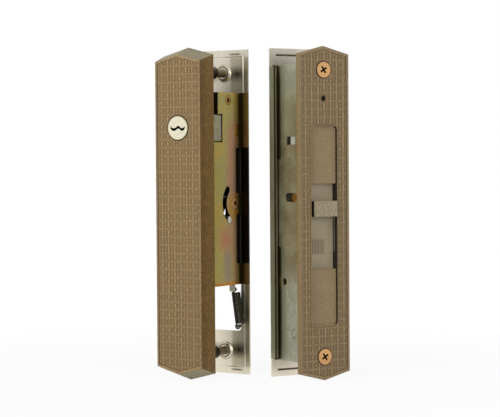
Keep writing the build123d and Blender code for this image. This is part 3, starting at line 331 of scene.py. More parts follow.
# %% [markdown]
# ## Bronze paint
#
# Both covers look like castings with a satin bronze paint. In the photograph the paint is a warm taupe
# with a fine sparkle, paler on the high spots of the pattern and browner in its grooves. One function
# makes the paint, so that the plain walls, the patterned fields and the smooth floor of the recess can
# share it with their own colours. The pattern's pieces carry a number at each vertex, called lift, which
# says how high the vertex stands, and the paint reads it as an attribute.

# %% The bronze paint
SHADE = (0.010, 0.007, 0.004)


def bronze_paint(name, pale, dark, grain_scale=620.0, grain_depth=0.00003):
    """Satin paint between two colours, with a fine grain; gives its colour for further mixing."""
    material, tree, shader, place = new_finish(name, roughness=0.42)
    shader.inputs["Specular IOR Level"].default_value = 0.3
    grain = effect(tree, fine_grain, place, Scale=grain_scale)
    stain = effect(tree, cloudy_stain, place, Scale=70.0, Low=0.3, High=0.7)
    colour = blend_colours(tree, grain, dark, pale)
    colour = blend_colours(tree, stain, colour, (0.94, 0.92, 0.90), TIMES)
    vary(tree, grain, 0.34, 0.52, shader)
    bump(tree, shader, grain, grain_depth)
    return material, tree, shader, place, colour


def relief_paint(name, pale, dark, groove):
    """Bronze paint that goes to a groove colour where the attribute called lift is zero."""
    material, tree, shader, _, colour = bronze_paint(name, pale, dark)
    lift = add_node(tree, "Attribute", attribute_name="lift").outputs["Fac"]
    lay_marks(tree, shader, blend_colours(tree, lift, groove, colour))
    return material


# %% The paints of the two patterned fields and of the grip lines
outer_field = relief_paint(
    "outer_field_paint", (0.375, 0.262, 0.132), (0.212, 0.139, 0.057), (0.150, 0.092, 0.036)
)
inner_field = relief_paint(
    "inner_field_paint", (0.325, 0.235, 0.125), (0.185, 0.126, 0.057), (0.145, 0.096, 0.044)
)
grip_paint = relief_paint(
    "grip_paint", (0.315, 0.255, 0.170), (0.235, 0.185, 0.118), (0.185, 0.148, 0.092)
)

# %% [markdown]
# The outer cover is one casting, but its faces don't look alike. The front has the paint's warm tone.
# The steep side walls are coarser and get a brown painted shade, darker still near the front edge. The
# small roofs at the ends get a grey painted reflection, and the rims beside the pattern are a little
# darker than the front. The hollow back and the faces that point rearward get painted shade. Most of
# these differ in the direction that the face points in, and the rest in their place.

# %% The outer cover
cover_paint, tree, shader, place, colour = bronze_paint(
    "cover_paint", (0.355, 0.246, 0.127), (0.20, 0.130, 0.055)
)
coarse_grain = effect(tree, fine_grain, place, Scale=330.0)
marks = []
# Painted shade on each side wall, darker still near the front edge; the coarse grain there is the casting's
# own.
for way in (RIGHT, LEFT):
    side_wall = facing(tree, way, 0.5, 0.9)
    near_front_shade = product(tree, side_wall, strip(tree, place, "Y", -0.02, -0.0095, 0.004))
    marks += [
        (side_wall, (0.63, 0.53, 0.30), TIMES),
        (near_front_shade, (0.82, 0.74, 0.68), TIMES),
        (product(tree, side_wall, coarse_grain), (0.74, 0.72, 0.62), TIMES),
    ]
# Painted reflection that turns the roofs at the ends greyer.
for way, roof_reflection_tint in ((UP, (0.76, 0.95, 1.06)), (DOWN, (0.91, 1.10, 1.0))):
    marks.append((facing(tree, way, 0.4, 0.8), roof_reflection_tint, TIMES))
for low, high in ((-0.03, -0.0176), (0.0176, 0.03)):
    rim = product(tree, strip(tree, place, "X", low, high), facing(tree, FORWARD, 0.8, 0.95))
    marks.append((rim, (0.78, 0.76, 0.74), TIMES))
# Painted shade in the hollow back and on the faces that point rearward.
outward = vector_maths(tree, "MULTIPLY", place, surface_normal(tree))
inside = reach_along(tree, outward, (-1.0, 0.0, -1.0), 0.001, 0.003)
marks += [(inside, SHADE), (facing(tree, REARWARD, 0.3, 0.6), SHADE)]
lay_marks(tree, shader, colour, *marks)
dress(cover_paint, "outer_cover")

# %% [markdown]
# The inner half stands turned by 63 degrees, so its finishes need its own directions: across the plate,
# and into the door. Its face plate gets painted shade in the gaps round the two screws, on the rim on its
# left and on the faces that point left, and the right-hand wall of the recess lies in painted shadow.
# Masks from the place and the direction of the surface find them all.

# %% The inner half's own directions
INNER_PLACE = (84.4, 45.2)
INNER_TURN = radians(63.0)
TO_LEFT = (-cos(INNER_TURN), -sin(INNER_TURN), 0.0)
OUT_OF_DOOR = (sin(INNER_TURN), -cos(INNER_TURN), 0.0)
CLAMP_HEIGHT = 103.0
CLAMP_SCREW = (0.0, 0.0, CLAMP_HEIGHT * MM)


def inner_frame(tree, place):
    """Coordinates across, into and up the inner half, from its own corner."""
    corner = (INNER_PLACE[0] * MM, INNER_PLACE[1] * MM, 0.0)
    sockets = {"Vector": place, "Location": corner, "Rotation": (0.0, 0.0, INNER_TURN)}
    return add_node(tree, "Mapping", sockets, vector_type="TEXTURE").outputs["Vector"]


def right_wall(tree, local):
    """A mask of the recess's right-hand wall, which faces left and lies right of the middle."""
    return product(tree, facing(tree, TO_LEFT, 0.4, 0.7), reach_along(tree, local, RIGHT, 0.002, 0.003))


# %% The face plate, the pan and the knob
face_paint, tree, shader, place, colour = bronze_paint(
    "face_paint", (0.33, 0.224, 0.113), (0.215, 0.14, 0.059), grain_scale=1200.0, grain_depth=0.000006
)
local = inner_frame(tree, place)
front_face = facing(tree, OUT_OF_DOOR, 0.8, 0.95)
left_rim_shade = product(tree, front_face, strip(tree, local, "X", -0.03, -0.0206))
screw_gap_shade = round_mark(tree, mirrored(tree, local), CLAMP_SCREW, IN_PLATE, 0.0, 0.0063, 0.0003)
# Painted shade on the faces that point left, the rim on the left, the recess's right-hand wall and the gaps
# round the screws.
lay_marks(
    tree,
    shader,
    colour,
    (front_face, (0.89, 0.97, 1.10), TIMES),
    (facing(tree, TO_LEFT, 0.4, 0.7), (0.86, 0.86, 0.76), TIMES),
    (left_rim_shade, (0.56, 0.50, 0.42), TIMES),
    (right_wall(tree, local), SHADE),
    (screw_gap_shade, SHADE),
)
dress(face_paint, "inner_face_plate")

pan_paint, tree, shader, place, colour = bronze_paint(
    "pan_paint", (0.262, 0.200, 0.126), (0.195, 0.148, 0.088), grain_scale=1300.0, grain_depth=0.000006
)
local = inner_frame(tree, place)
pocket_floor = reach_along(tree, local, REARWARD, 0.0, 0.003)
# Painted shade on the far right of the pocket floor and on the recess's right-hand wall.
far_right_shade = product(tree, pocket_floor, reach_along(tree, local, RIGHT, 0.0111, 0.0113))
lay_marks(
    tree,
    shader,
    colour,
    (pocket_floor, (1.38, 1.54, 1.66), TIMES),
    (far_right_shade, SHADE),
    (right_wall(tree, local), SHADE),
)
dress(pan_paint, "finger_pan")

knob_paint, tree, shader, place, colour = bronze_paint(
    "knob_paint", (0.36, 0.30, 0.205), (0.22, 0.175, 0.112), grain_scale=700.0, grain_depth=0.00002
)
# Painted shade on the knob's faces that point left.
lay_marks(tree, shader, colour, (facing(tree, TO_LEFT, 0.4, 0.7), SHADE))
dress(knob_paint, "slider_knob")


# %% [markdown]
# ## Plated and bare metals
#
# Behind the covers nearly everything is metal. The rear plates are brushed stainless, the inner channel
# is dull zinc, and the screws are copper, bare or black. A metal in the Principled shader is its colour
# with Metallic at one; what makes one steel look unlike another is how rough it is and which way its
# scratches run. So one function makes a metal from a colour, a roughness and a direction.

# %% A metal from its colour, roughness and brushing
EVEN = (400.0, 400.0, 400.0)
UPRIGHT = (900.0, 900.0, 25.0)
STREAK_SHARE = 0.86


def metal(name, pale, dark, rough, stretch=EVEN):
    """A metal between two colours and two roughnesses, brushed along the way where stretch is small."""
    material, tree, shader, place = new_finish(name, roughness=rough[0], metallic=1.0)
    lines = effect(tree, brushed_lines, place, Stretch=stretch)
    stain = effect(tree, cloudy_stain, place, Scale=60.0, Low=0.35, High=0.7)
    streak = tuple(STREAK_SHARE * c for c in pale)
    colour = blend_colours(tree, lines, streak, blend_colours(tree, stain, pale, dark))
    lay_marks(tree, shader, colour)
    vary(tree, lines, *rough, shader)
    bump(tree, shader, lines, 0.000004)
    return material, tree, shader, place, colour


# %% Plain metals, and the CAD pieces that wear them
PLAIN_METALS = {
    "bright_pin": ((0.66, 0.64, 0.56), (0.55, 0.53, 0.46), (0.28, 0.4), ["guide_pin"]),
    "bare_steel_finish": (
        (0.34, 0.32, 0.27),
        (0.24, 0.225, 0.18),
        (0.3, 0.45),
        ["hook_lever", "drive_pin", "tail_cam", "cam_nut", "outer_clamp_screws"]
        + ["spring_post", "slider_plate", "detent_spring", "inner_posts"],
    ),
    "dark_steel": ((0.06, 0.055, 0.045), (0.04, 0.036, 0.028), (0.4, 0.55), ["bolt_carriage", "pivot_bush"]),
    "plain_brass": ((0.50, 0.31, 0.10), (0.34, 0.20, 0.06), (0.3, 0.45), ["carriage_pin", "tie_tube"]),
    "dull_zinc": ((0.70, 0.68, 0.58), (0.58, 0.56, 0.47), (0.5, 0.65), ["drive_bar", "bar_stud"]),
    "worn_thread": ((0.25, 0.20, 0.13), (0.16, 0.125, 0.075), (0.3, 0.45), []),
    "spring_black": ((0.075, 0.068, 0.045), (0.05, 0.045, 0.03), (0.55, 0.7), []),
    "tab_gold": ((0.50, 0.27, 0.055), (0.40, 0.20, 0.035), (0.34, 0.5), []),
    "black_oxide": (
        (0.040, 0.036, 0.024),
        (0.022, 0.019, 0.012),
        (0.34, 0.5),
        ["return_spring", "outer_sleeves", "blank_screw", "cylinder_barrel"],
    ),
}
finishes = {}
for name, (pale, dark, rough, pieces) in PLAIN_METALS.items():
    finishes[name] = metal(name, pale, dark, rough)[0]
    dress(finishes[name], *pieces)

# %% [markdown]
# The screws with a cross slot get painted shade in it. The slot is whatever lies deeper than the
# screw's face, so each of these screws needs the direction into it and the depth at which the painted
# shade begins.

# %% Screws, with painted shade in their slots
SLOT_SOFTNESS = 0.0002


def slotted_screw(name, piece, pale, dark, direction, depth, inner=False):
    """A metal with painted shade past a depth, measured in the inner half's frame if inner is set."""
    material, tree, shader, place, colour = metal(name, pale, dark, (0.34, 0.5))
    local = inner_frame(tree, place) if inner else place
    slot = reach_along(tree, local, direction, depth, depth + SLOT_SOFTNESS)
    lay_marks(tree, shader, colour, (slot, SHADE))
    dress(material, piece)


COPPER = ((0.60, 0.345, 0.15), (0.45, 0.25, 0.10))
slotted_screw("inner_copper", "inner_clamp_screws", *COPPER, REARWARD, -0.0027, inner=True)
slotted_screw("pivot_copper", "pivot_screw", (0.78, 0.46, 0.19), (0.62, 0.34, 0.12), LEFT, -0.015)
slotted_screw("gold_screw", "case_screw", (0.42, 0.255, 0.05), (0.33, 0.19, 0.035), LEFT, -0.01505)

# %% The guide block is a pale metal, too dull to mirror anything
pale_block, tree, shader, place = new_finish("pale_block", roughness=0.6)
grain = effect(tree, fine_grain, place, Scale=900.0)
lay_marks(tree, shader, blend_colours(tree, grain, (0.36, 0.37, 0.30), (0.46, 0.47, 0.39)))
dress(pale_block, "guide_block")

# %% [markdown]
# The rear plates are pressed trays of stainless steel, brushed upright. Pale lines along the outer
# plate's folds are painted highlights, and dark lines along folds are painted shade. Beside each case
# the steel gets painted shade, the inner plate has a painted reflection of the channel wall, and the
# outer plate has a painted dark reflection beside each clamp screw and over its right half, and rings
# of painted shade in the seats of those screws. All of these are strips and rings in known places. A
# row of a table gives a span across the plate, a span of height that both ends share, and the tint.

# %% Marks on a plate
STAINLESS = ((0.60, 0.555, 0.465), (0.50, 0.46, 0.38), (0.30, 0.5), UPRIGHT)


def plate_marks(tree, local, rows):
    """Turns rows of a span across, a span of height that both ends share, and a tint into marks."""
    upper = mirrored(tree, local)
    return [
        (product(tree, strip(tree, local, "X", *across), strip(tree, upper, "Z", *height)), *tint)
        for across, height, *tint in rows.values()
    ]


# %% The inner rear plate
CHANNEL_SPAN = (-0.1068, 0.1068)
# Painted shade along the border line, beside the channel wall, at the slot's end and along the end fold, and
# a painted reflection of the channel wall between border and wall; the border is darker.
INNER_ROWS = {
    "border line": ((-0.0186, -0.0170), CHANNEL_SPAN, (0.045, 0.038, 0.020)),
    "darker_border": ((-0.0300, -0.0184), CHANNEL_SPAN, (0.58, 0.61, 0.56), TIMES),
    "between": ((-0.0168, -0.0125), CHANNEL_SPAN, (0.26, 0.23, 0.14)),
    "beside": ((-0.0155, -0.0136), CHANNEL_SPAN, (0.030, 0.026, 0.012)),
    "slot end": ((-0.0195, -0.0125, 0.001), (0.1062, 0.1078, 0.0012), (0.07, 0.06, 0.035)),
    "end fold": ((-0.0165, 0.0165), (0.1148, 0.1158), (0.10, 0.085, 0.05)),
}
inner_plate, tree, shader, place, colour = metal("inner_stainless", *STAINLESS)
local = inner_frame(tree, place)
paler_end = (strip(tree, local, "Z", -0.13, -0.103, 0.008), (0.84, 0.77, 0.63))
lay_marks(tree, shader, colour, paler_end, *plate_marks(tree, local, INNER_ROWS))
dress(inner_plate, "inner_rear_plate")

# %% The outer rear plate
# Painted dark reflection over the plate's right half, deeper on its border.
DARK_REFLECTION_ROWS = {
    "right half": ((0.0060, 0.0300, 0.0025), (-0.12, 0.1146), (0.66, 0.65, 0.58), TIMES),
    "border": ((0.0182, 0.0300), (-0.12, 0.1120, 0.004), (0.82, 0.79, 0.68), TIMES),
}
# Painted highlights along the level and upright folds, and a painted shadow just past the level fold.
FOLD_HIGHLIGHT_AND_SHADOW_ROWS = {
    "fold's shadow": ((0.0060, 0.0150, 0.003), (0.1162, 0.1174, 0.0010), (0.13, 0.105, 0.06)),
    "level fold": ((-0.03, 0.0176), (0.1142, 0.1150), (0.80, 0.77, 0.66)),
    "upright fold": ((0.0172, 0.0181), (-0.12, 0.1142), (0.95, 0.90, 0.72)),
}
outer_plate, tree, shader, place, colour = metal("outer_stainless", *STAINLESS)
upper = mirrored(tree, place)
# A painted dark reflection beside each clamp screw.
dark_reflection = round_mark(tree, upper, (0.0120, 0.0, 0.1022), (0.60, 0.0, 1.0), -0.02, 0.0036, 0.0062)
# Rings of painted shade in the seat of each clamp screw.
seat = round_mark(tree, upper, CLAMP_SCREW, IN_PLATE, 0.0042, 0.0052, 0.0005)
seat_rim = round_mark(tree, upper, CLAMP_SCREW, IN_PLATE, 0.0059, 0.0068, 0.0004)
# Painted shade beside the case: lighter towards the plate's outer edge, darkest over the heights of the
# notches in the case wall.
beside_case_shade = patch(tree, place, X=(0.0145, 0.030), Z=(-0.0532, 0.0882))
outer_edge = reach_along(tree, place, RIGHT, 0.0155, 0.021)
shade = blend_colours(tree, outer_edge, (0.045, 0.034, 0.012), (0.14, 0.102, 0.042))
shade = blend_colours(tree, strip(tree, place, "Z", -0.0376, 0.0480, 0.001), shade, (0.012, 0.009, 0.004))
lay_marks(
    tree,
    shader,
    colour,
    (strip(tree, place, "Z", -0.13, -0.080, 0.01), (0.82, 0.75, 0.60)),
    *plate_marks(tree, place, DARK_REFLECTION_ROWS),
    (product(tree, dark_reflection, facing(tree, FORWARD, 0.2, 0.6)), (0.065, 0.055, 0.030)),
    (seat, (0.10, 0.085, 0.05)),
    (seat_rim, (0.45, 0.42, 0.32)),
    *plate_marks(tree, place, FOLD_HIGHLIGHT_AND_SHADOW_ROWS),
    (beside_case_shade, shade),
)
dress(outer_plate, "outer_rear_plate")

# %% [markdown]
# ## Dull zinc with spangle
#
# The cylinder housing and the inner channel are finished as galvanised steel. Zinc that cools slowly
# grows crystals, and each one catches the light at its own angle, which gives soft grey-green patches
# with faint edges. A Voronoi pattern has just such cells, so its random cell colour moves both tone and
# roughness a little. Brownish stains lie over a middle stretch, and a faint ring marks a round boss.

# %% Galvanised finish
def galvanised(name, piece, pale, dark, brown, brown_span, boss):
    """Zinc plate with crystal patches, brown stains between two heights, and a ring round a boss."""
    material, tree, shader, place = new_finish(name, roughness=0.45, metallic=0.85)
    crystals = add_node(tree, "TexVoronoi", {"Vector": place, "Scale": 260.0})
    tone = add_node(tree, "SeparateColor", {0: crystals.outputs["Color"]}).outputs[0]
    grain = effect(tree, fine_grain, place, Scale=900.0)
    stain = effect(tree, cloudy_stain, place, Scale=45.0, Low=0.3, High=0.7)
    stain = product(tree, stain, strip(tree, place, "Z", *brown_span, 0.05))
    ring = round_mark(tree, place, boss, (1.0, 1.0, 1.0), 0.0028, 0.0036, 0.0006)
    colour = blend_colours(tree, tone, pale, dark)
    lay_marks(tree, shader, colour, (grain, dark), (stain, brown), (ring, (0.66, 0.62, 0.52), TIMES))
    vary(tree, tone, 0.36, 0.55, shader)
    bump(tree, shader, grain, 0.00002)
    dress(material, piece)


CHANNEL = ((0.54, 0.55, 0.43), (0.38, 0.385, 0.28), (0.21, 0.165, 0.08), (-0.035, 0.075))
CHANNEL_BOSS = (0.0629, 0.0406, -0.0872)
HOUSING = ((0.42, 0.42, 0.30), (0.32, 0.31, 0.215), (0.30, 0.26, 0.16), (0.05, 0.07))
HOUSING_BOSS = (-0.0109, 0.020, 0.062)
galvanised("channel_zinc", "inner_case", *CHANNEL, CHANNEL_BOSS)
galvanised("housing_zinc", "cylinder_housing", *HOUSING, HOUSING_BOSS)

# %% [markdown]
# ## Yellow chromate
#
# The outer case is finished as zinc plate with a yellow chromate film. The film is so thin that it
# colours by interference: gold where it is thin, olive, then pink where it is thicker. The colour
# therefore depends on film thickness alone. Here the thickness is one number, made of broad noise plus a
# slow rise from front to rear over the middle heights, and a colour ramp turns it into the film's colours.
#
# Some colours of the photograph lie in one place only, so they are marks over the film: a pink, a rosy
# and a violet patch, amber round the pivot and orange along cut edges. Painted shade lies in the gaps
# round the upper screw and the pivot, on a band at the rear and on the faces that point forward.

# %% Yellow chromate film
FILM = [
    (0.30, (0.52, 0.34, 0.07)),
    (0.42, (0.50, 0.38, 0.095)),
    (0.52, (0.44, 0.37, 0.12)),
    (0.64, (0.42, 0.33, 0.14)),
    (0.76, (0.49, 0.29, 0.14)),
    (0.90, (0.40, 0.27, 0.155)),
]
PIVOT = (0.0, 0.0369, 0.007)
UPPER_SCREW = (0.0, 0.0286, 0.0824)

chromate, tree, shader, place = new_finish("yellow_chromate", roughness=0.36, metallic=0.9)
clouds = noise(tree, Vector=place, Scale=26.0, Detail=4.0, Roughness=0.6, Distortion=0.6)
to_rear = reach_along(tree, place, REARWARD, 0.020, 0.034)
rise = product(tree, to_rear, strip(tree, place, "Z", -0.036, 0.058, 0.03))
thickness = maths(tree, "MULTIPLY_ADD", rise, 0.30, clouds)
ramp = add_node(tree, "ValToRGB", {"Fac": thickness})
stops = ramp.color_ramp.elements
stops.remove(stops[1])
stops[0].position, stops[0].color = FILM[0][0], (*FILM[0][1], 1.0)
for position, film_colour in FILM[1:]:
    stops.new(position).color = (*film_colour, 1.0)

# %% Marks over the film
# GAP is the colour of painted shade in the gaps round screw heads.
CUT_EDGE, GAP = (0.62, 0.27, 0.04), (0.12, 0.06, 0.012)
pink = round_mark(tree, place, (0.0, 0.0235, -0.0195), (0.0, 1.0, 0.8), -0.02, 0.0065, 0.010)
rosy = patch(tree, place, Y=(0.0285, 0.0335, 0.006), Z=(0.016, 0.060, 0.015))
violet = patch(tree, place, Y=(0.023, 0.030, 0.006), Z=(-0.050, -0.028, 0.006))
amber = round_mark(tree, place, (0.0, 0.0369, 0.0045), IN_SIDE, -0.02, 0.0095, 0.004)
slot_rim = product(
    tree,
    round_mark(tree, place, PIVOT, IN_SIDE, 0.0122, 0.0134, 0.0005),
    patch(tree, place, Z=(-0.003, 0.0125), Y=(0.0, 0.0369)),
)
grain = effect(tree, fine_grain, place, Scale=800.0)
lay_marks(
    tree,
    shader,
    ramp.outputs["Color"],
    (pink, (0.54, 0.235, 0.13)),
    (rosy, (0.50, 0.27, 0.145)),
    (violet, (0.33, 0.265, 0.18)),
    (amber, (0.50, 0.27, 0.055)),
    (strip(tree, place, "Z", -0.060, -0.0506, 0.0016), (0.55, 0.25, 0.035)),
    # Painted shade in the gaps round the upper screw and the pivot.
    (round_mark(tree, place, UPPER_SCREW, IN_SIDE, 0.0035, 0.0039, 0.0003), GAP),
    (round_mark(tree, place, PIVOT, IN_SIDE, 0.004, 0.0044, 0.0003), GAP),
    (patch(tree, place, Z=(0.0138, 0.0152), Y=(0.0365, 0.05)), CUT_EDGE),
    (patch(tree, place, Z=(-0.0008, 0.0006), Y=(0.0365, 0.05)), CUT_EDGE),
    (slot_rim, (0.62, 0.29, 0.05)),
    # Painted shade on a band at the rear of the case.
    (strip(tree, place, "Y", 0.0416, 0.05), (0.09, 0.066, 0.020)),
    # Painted shade on the faces that point forward.
    (facing(tree, FORWARD, 0.4, 0.7), (0.040, 0.026, 0.008)),
    (grain, (0.80, 0.80, 0.78), TIMES),
)
vary(tree, grain, 0.30, 0.46, shader)
bump(tree, shader, grain, 0.00001)
dress(chromate, "case_body", "case_side_plate", "case_post", "case_rivet")
print("film colours:", len(stops))

# %% [markdown]
# ## The nickel face of the key cylinder
#
# The face is satin nickel, almost white. A faint turned ring shows round its middle, its edge is darker,
# and the key slot has painted shade inside. Ring and edge are bands of distances from the cylinder's
# axis, which the helper for round marks finds, and the slot is whatever lies deeper than the face.

# %% Satin nickel with a turned ring
KEY_AXIS = (0.0, 0.0, 0.062)
nickel, tree, shader, place = new_finish("satin_nickel", roughness=0.45)
grain = effect(tree, fine_grain, place, Scale=1800.0)
ring = round_mark(tree, place, KEY_AXIS, IN_PLATE, 0.0046, 0.0049, 0.0003)
edge = round_mark(tree, place, KEY_AXIS, IN_PLATE, 0.0081, 0.02, 0.0010)
# Painted shade in the key slot, past the face.
key_slot_shade = reach_along(tree, place, REARWARD, -0.0144, -0.0142)
colour = blend_colours(tree, grain, (0.66, 0.62, 0.475), (0.607, 0.567, 0.42))
lay_marks(
    tree, shader, colour, (ring, (0.50, 0.475, 0.38)), (edge, (0.42, 0.36, 0.20)), (key_slot_shade, SHADE)
)
vary(tree, grain, 0.40, 0.55, shader)
bump(tree, shader, ring, -0.0001)
dress(nickel, "cylinder_plug")

# %% [markdown]
# ## Black moulded plastic
#
# The guard behind the hook is black plastic. Moulded plastic has a low sheen and a faint leathery
# texture from its mould, so the finish is a rough dielectric with a fine grain in its bump.

# %% Black plastic
guard_plastic, tree, shader, place = new_finish("guard_plastic", roughness=0.75)
shader.inputs["Specular IOR Level"].default_value = 0.12
grain = effect(tree, fine_grain, place, Scale=1300.0)
lay_marks(tree, shader, blend_colours(tree, grain, (0.003, 0.0025, 0.0015), (0.007, 0.006, 0.004)))
bump(tree, shader, grain, 0.00003)
dress(guard_plastic, "rear_guard")


# %% [markdown]
# ## Surfaces as grids
#
# New pieces are surfaces worked out as arrays. A grid of rows and columns of points becomes a mesh of
# quads: the quad at row i and column j joins four neighbours. The faces come out as one array, so there
# is no loop over points. The helper can also leave quads out, which is how a pattern gets its holes.

# %% From arrays to a mesh
def grid_quads(rows, columns, closed=False):
    """Corner numbers of every quad of a grid; closed joins the last column to the first."""
    row = np.arange(rows - 1)[:, None] * columns
    column = np.arange(columns if closed else columns - 1)[None, :]
    following = (column + 1) % columns
    corners = (row + column, row + following, row + columns + following, row + columns + column)
    return np.stack(np.broadcast_arrays(*corners), axis=-1).reshape(-1, 4)


def surface_piece(name, points, quads, material, body="root"):
    """A smooth piece from points in metres and quads; it rides on a body, unless that is None."""
    used, renumbered = np.unique(quads, return_inverse=True)
    mesh = bpy.data.meshes.new(name)
    mesh.from_pydata(points.reshape(-1, 3)[used].tolist(), [], renumbered.reshape(-1, 4).tolist())
    mesh.polygons.foreach_set("use_smooth", np.ones(len(quads), dtype=bool))
    mesh.materials.append(material)
    mesh.update()
    piece = bpy.data.objects.new(name, mesh)
    bpy.context.scene.collection.objects.link(piece)
    if body:
        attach(piece, body)
    print(name, "quads", len(quads))
    return piece, used


# %% [markdown]
# ## The cast pattern
#
# Both bronze covers carry the same cast pattern: upright ridges, high and low by turns, crossed by
# broader level ridges. What stays sunk between them are pairs of short dark slots. It could be a bump
# texture, but a bump has no silhouette and no shadow of its own, and this pattern is the first thing
# one sees. So it is real relief. Its height is one formula of the distance across and along, and it
# lies in the half-millimetre sunk field that the CAD model leaves for it.

# %% Height of the pattern
COLUMN = 5.32
ROW = 5.83
HIGH_RIDGE = (0.36, 0.76)
LOW_RIDGE = (1.62, 2.08)
LEVEL_RIDGE = (0.42, 1.00)
CROSSING = (0.60, 2.00)
LOW_HEIGHT = 0.38


def step_up(value, low, high):
    """Zero below low, one above high, and an S-shaped rise between."""
    share = np.clip((value - low) / (high - low), 0.0, 1.0)
    return share * share * (3.0 - 2.0 * share)


def pattern_height(across, along, level_height, crossing_height):
    """The highest of the high, the low and the level ridges, from zero to one.

    Each depends on how far a point lies from the nearest lattice line. High and level ridges follow
    the lines and fall off on an S-shaped flank; a low ridge stands midway between two high ones. A
    high ridge is full in the middle of its cell and dips to the crossing height at each level ridge."""
    from_column = np.abs((across / COLUMN + 0.5) % 1.0 - 0.5) * COLUMN
    from_row = np.abs((along / ROW + 0.5) % 1.0 - 0.5) * ROW
    crest = crossing_height + (1.0 - crossing_height) * step_up(from_row, *CROSSING)
    high = crest * (1.0 - step_up(from_column, *HIGH_RIDGE))
    low = LOW_HEIGHT * step_up(from_column, *LOW_RIDGE)
    level = level_height * (1.0 - step_up(from_row, *LEVEL_RIDGE))
    return np.maximum(np.maximum(high, low), level)


# %% [markdown]
# The grid must have lines exactly where the height changes, or the ridges come out ragged. So each cell
# repeats one short list of distances, and lines are spent only where the shape bends. The field's
# outline is a distance function: positive inside, negative in the screw heads, the cylinder's hole and
# the recess. Points just outside are pulled back onto the outline along its slope.

# %% The lines of the grid, and the field's outline
MARGIN = 0.9


def cell_lines(size, marks, low, high):
    """Distances from low to high that repeat the marks, mirrored, in every cell of a size."""
    marks = np.array(sorted({0.0, *marks, size / 2}))
    one_cell = np.concatenate([marks, size - marks[1:-1][::-1]])
    cells = np.arange(np.floor(low / size), np.ceil(high / size) + 1)
    lines = (cells[:, None] * size + one_cell[None, :]).ravel()
    return lines[(lines > low - MARGIN) & (lines < high + MARGIN)]


def inside_field(x, z, half_width, apex, drop_share, holes):
    """Distance inside the field's outline, in millimetres; negative outside it or in a hole."""
    lean = np.hypot(1.0, drop_share)
    distance = np.minimum(half_width - np.abs(x), (apex - drop_share * np.abs(x) - np.abs(z)) / lean)
    for middle_z, half_x, half_z, corner in holes:
        beyond_x = np.abs(x) - (half_x - corner)
        beyond_z = np.abs(z - middle_z) - (half_z - corner)
        outside = np.hypot(np.maximum(beyond_x, 0.0), np.maximum(beyond_z, 0.0))
        within = np.minimum(np.maximum(beyond_x, beyond_z), 0.0)
        distance = np.minimum(distance, outside + within - corner)
    return distance


# %% Lay the pattern in a field
ACROSS_MARKS = [*HIGH_RIDGE, 0.56, 1.2, *LOW_RIDGE, 1.85, 2.34]
ALONG_MARKS = [*LEVEL_RIDGE, 0.7, 1.3, 1.65, 2.0, 2.4]
NUDGE, EDGE_FADE = 0.01, 0.35
LEAST_HEIGHT, RELIEF = 0.015, 0.43


def set_lift(piece, used, height):
    """Writes the height of each point that a piece uses as its attribute called lift."""
    lift = piece.data.attributes.new("lift", "FLOAT", "POINT")
    lift.data.foreach_set("value", height.ravel()[used].astype(np.float32))


def pattern_piece(name, outline, offset, heights, holes, to_cad, paint):
    """The pattern over a field; offset shifts the lattice, and to_cad places it in the CAD frame."""
    half_width, apex, _ = outline
    shift_x, shift_z = offset
    x_lines = cell_lines(COLUMN, ACROSS_MARKS, -half_width - shift_x, half_width - shift_x) + shift_x
    z_lines = cell_lines(ROW, ALONG_MARKS, -apex - shift_z, apex - shift_z) + shift_z
    x, z = np.meshgrid(x_lines, z_lines)
    height = pattern_height(x - shift_x, z - shift_z, *heights)
    distance = inside_field(x, z, *outline, holes)
    slope_x = inside_field(x + NUDGE, z, *outline, holes) - inside_field(x - NUDGE, z, *outline, holes)
    slope_z = inside_field(x, z + NUDGE, *outline, holes) - inside_field(x, z - NUDGE, *outline, holes)
    steepness = np.maximum(np.hypot(slope_x, slope_z), 1e-9)
    outside = np.minimum(distance, 0.0)
    x = x - outside * slope_x / steepness
    z = z - outside * slope_z / steepness
    height = height * step_up(distance, 0.0, EDGE_FADE)
    quads = grid_quads(*x.shape)
    quads = quads[(distance.ravel()[quads] > 1e-6).any(axis=1)]
    points = to_cad(x, LEAST_HEIGHT + RELIEF * height, z)
    set_lift(*surface_piece(name, points, quads, paint), height)


# %% From both fields to the CAD frame
OUTER_FIELD, INNER_FIELD = -14.2, -2.5


def outer_place(x, height, z):
    """From the cover's sunk field to the CAD frame in metres."""
    return np.stack([x, OUTER_FIELD - height, z], axis=-1) * MM


def inner_point(u, v, z):
    """From the inner half's own frame, in millimetres, to the CAD frame in metres."""
    x = INNER_PLACE[0] + u * cos(INNER_TURN) - v * sin(INNER_TURN)
    y = INNER_PLACE[1] + u * sin(INNER_TURN) + v * cos(INNER_TURN)
    return np.stack(np.broadcast_arrays(x, y, z), axis=-1) * MM


def inner_place(u, height, z):
    """From the face plate's sunk field to the CAD frame in metres."""
    return inner_point(u, INNER_FIELD - height, z)


# %% Both patterned fields
# Each has an outline (half width, height of the apex and slope of the ends), a shift of its lattice,
# and two heights (level ridges, and high ridges where they cross the level ones). A hole is the
# height of its middle, its half width, its half height and its corner radius.
OUTER = ((17.55, 112.70, 0.2605), (1.95, 1.1), (0.50, 0.48))
INNER = ((19.25, 117.68, 0.2605), (0.75, -0.9), (0.63, 0.78))
cylinder_hole = (62.0, 9.6, 9.6, 9.6)
screw_holes = [(z, 6.4, 6.4, 6.4) for z in (-CLAMP_HEIGHT, CLAMP_HEIGHT)]
blank_hole = (82.4, 2.5, 2.5, 2.5)
recess = (-8.8, 11.55, 72.55, 3.0)
inner_holes = [*screw_holes, blank_hole, recess]
pattern_piece("outer_pattern", *OUTER, [cylinder_hole], outer_place, outer_field)
pattern_piece("inner_pattern", *INNER, inner_holes, inner_place, inner_field)

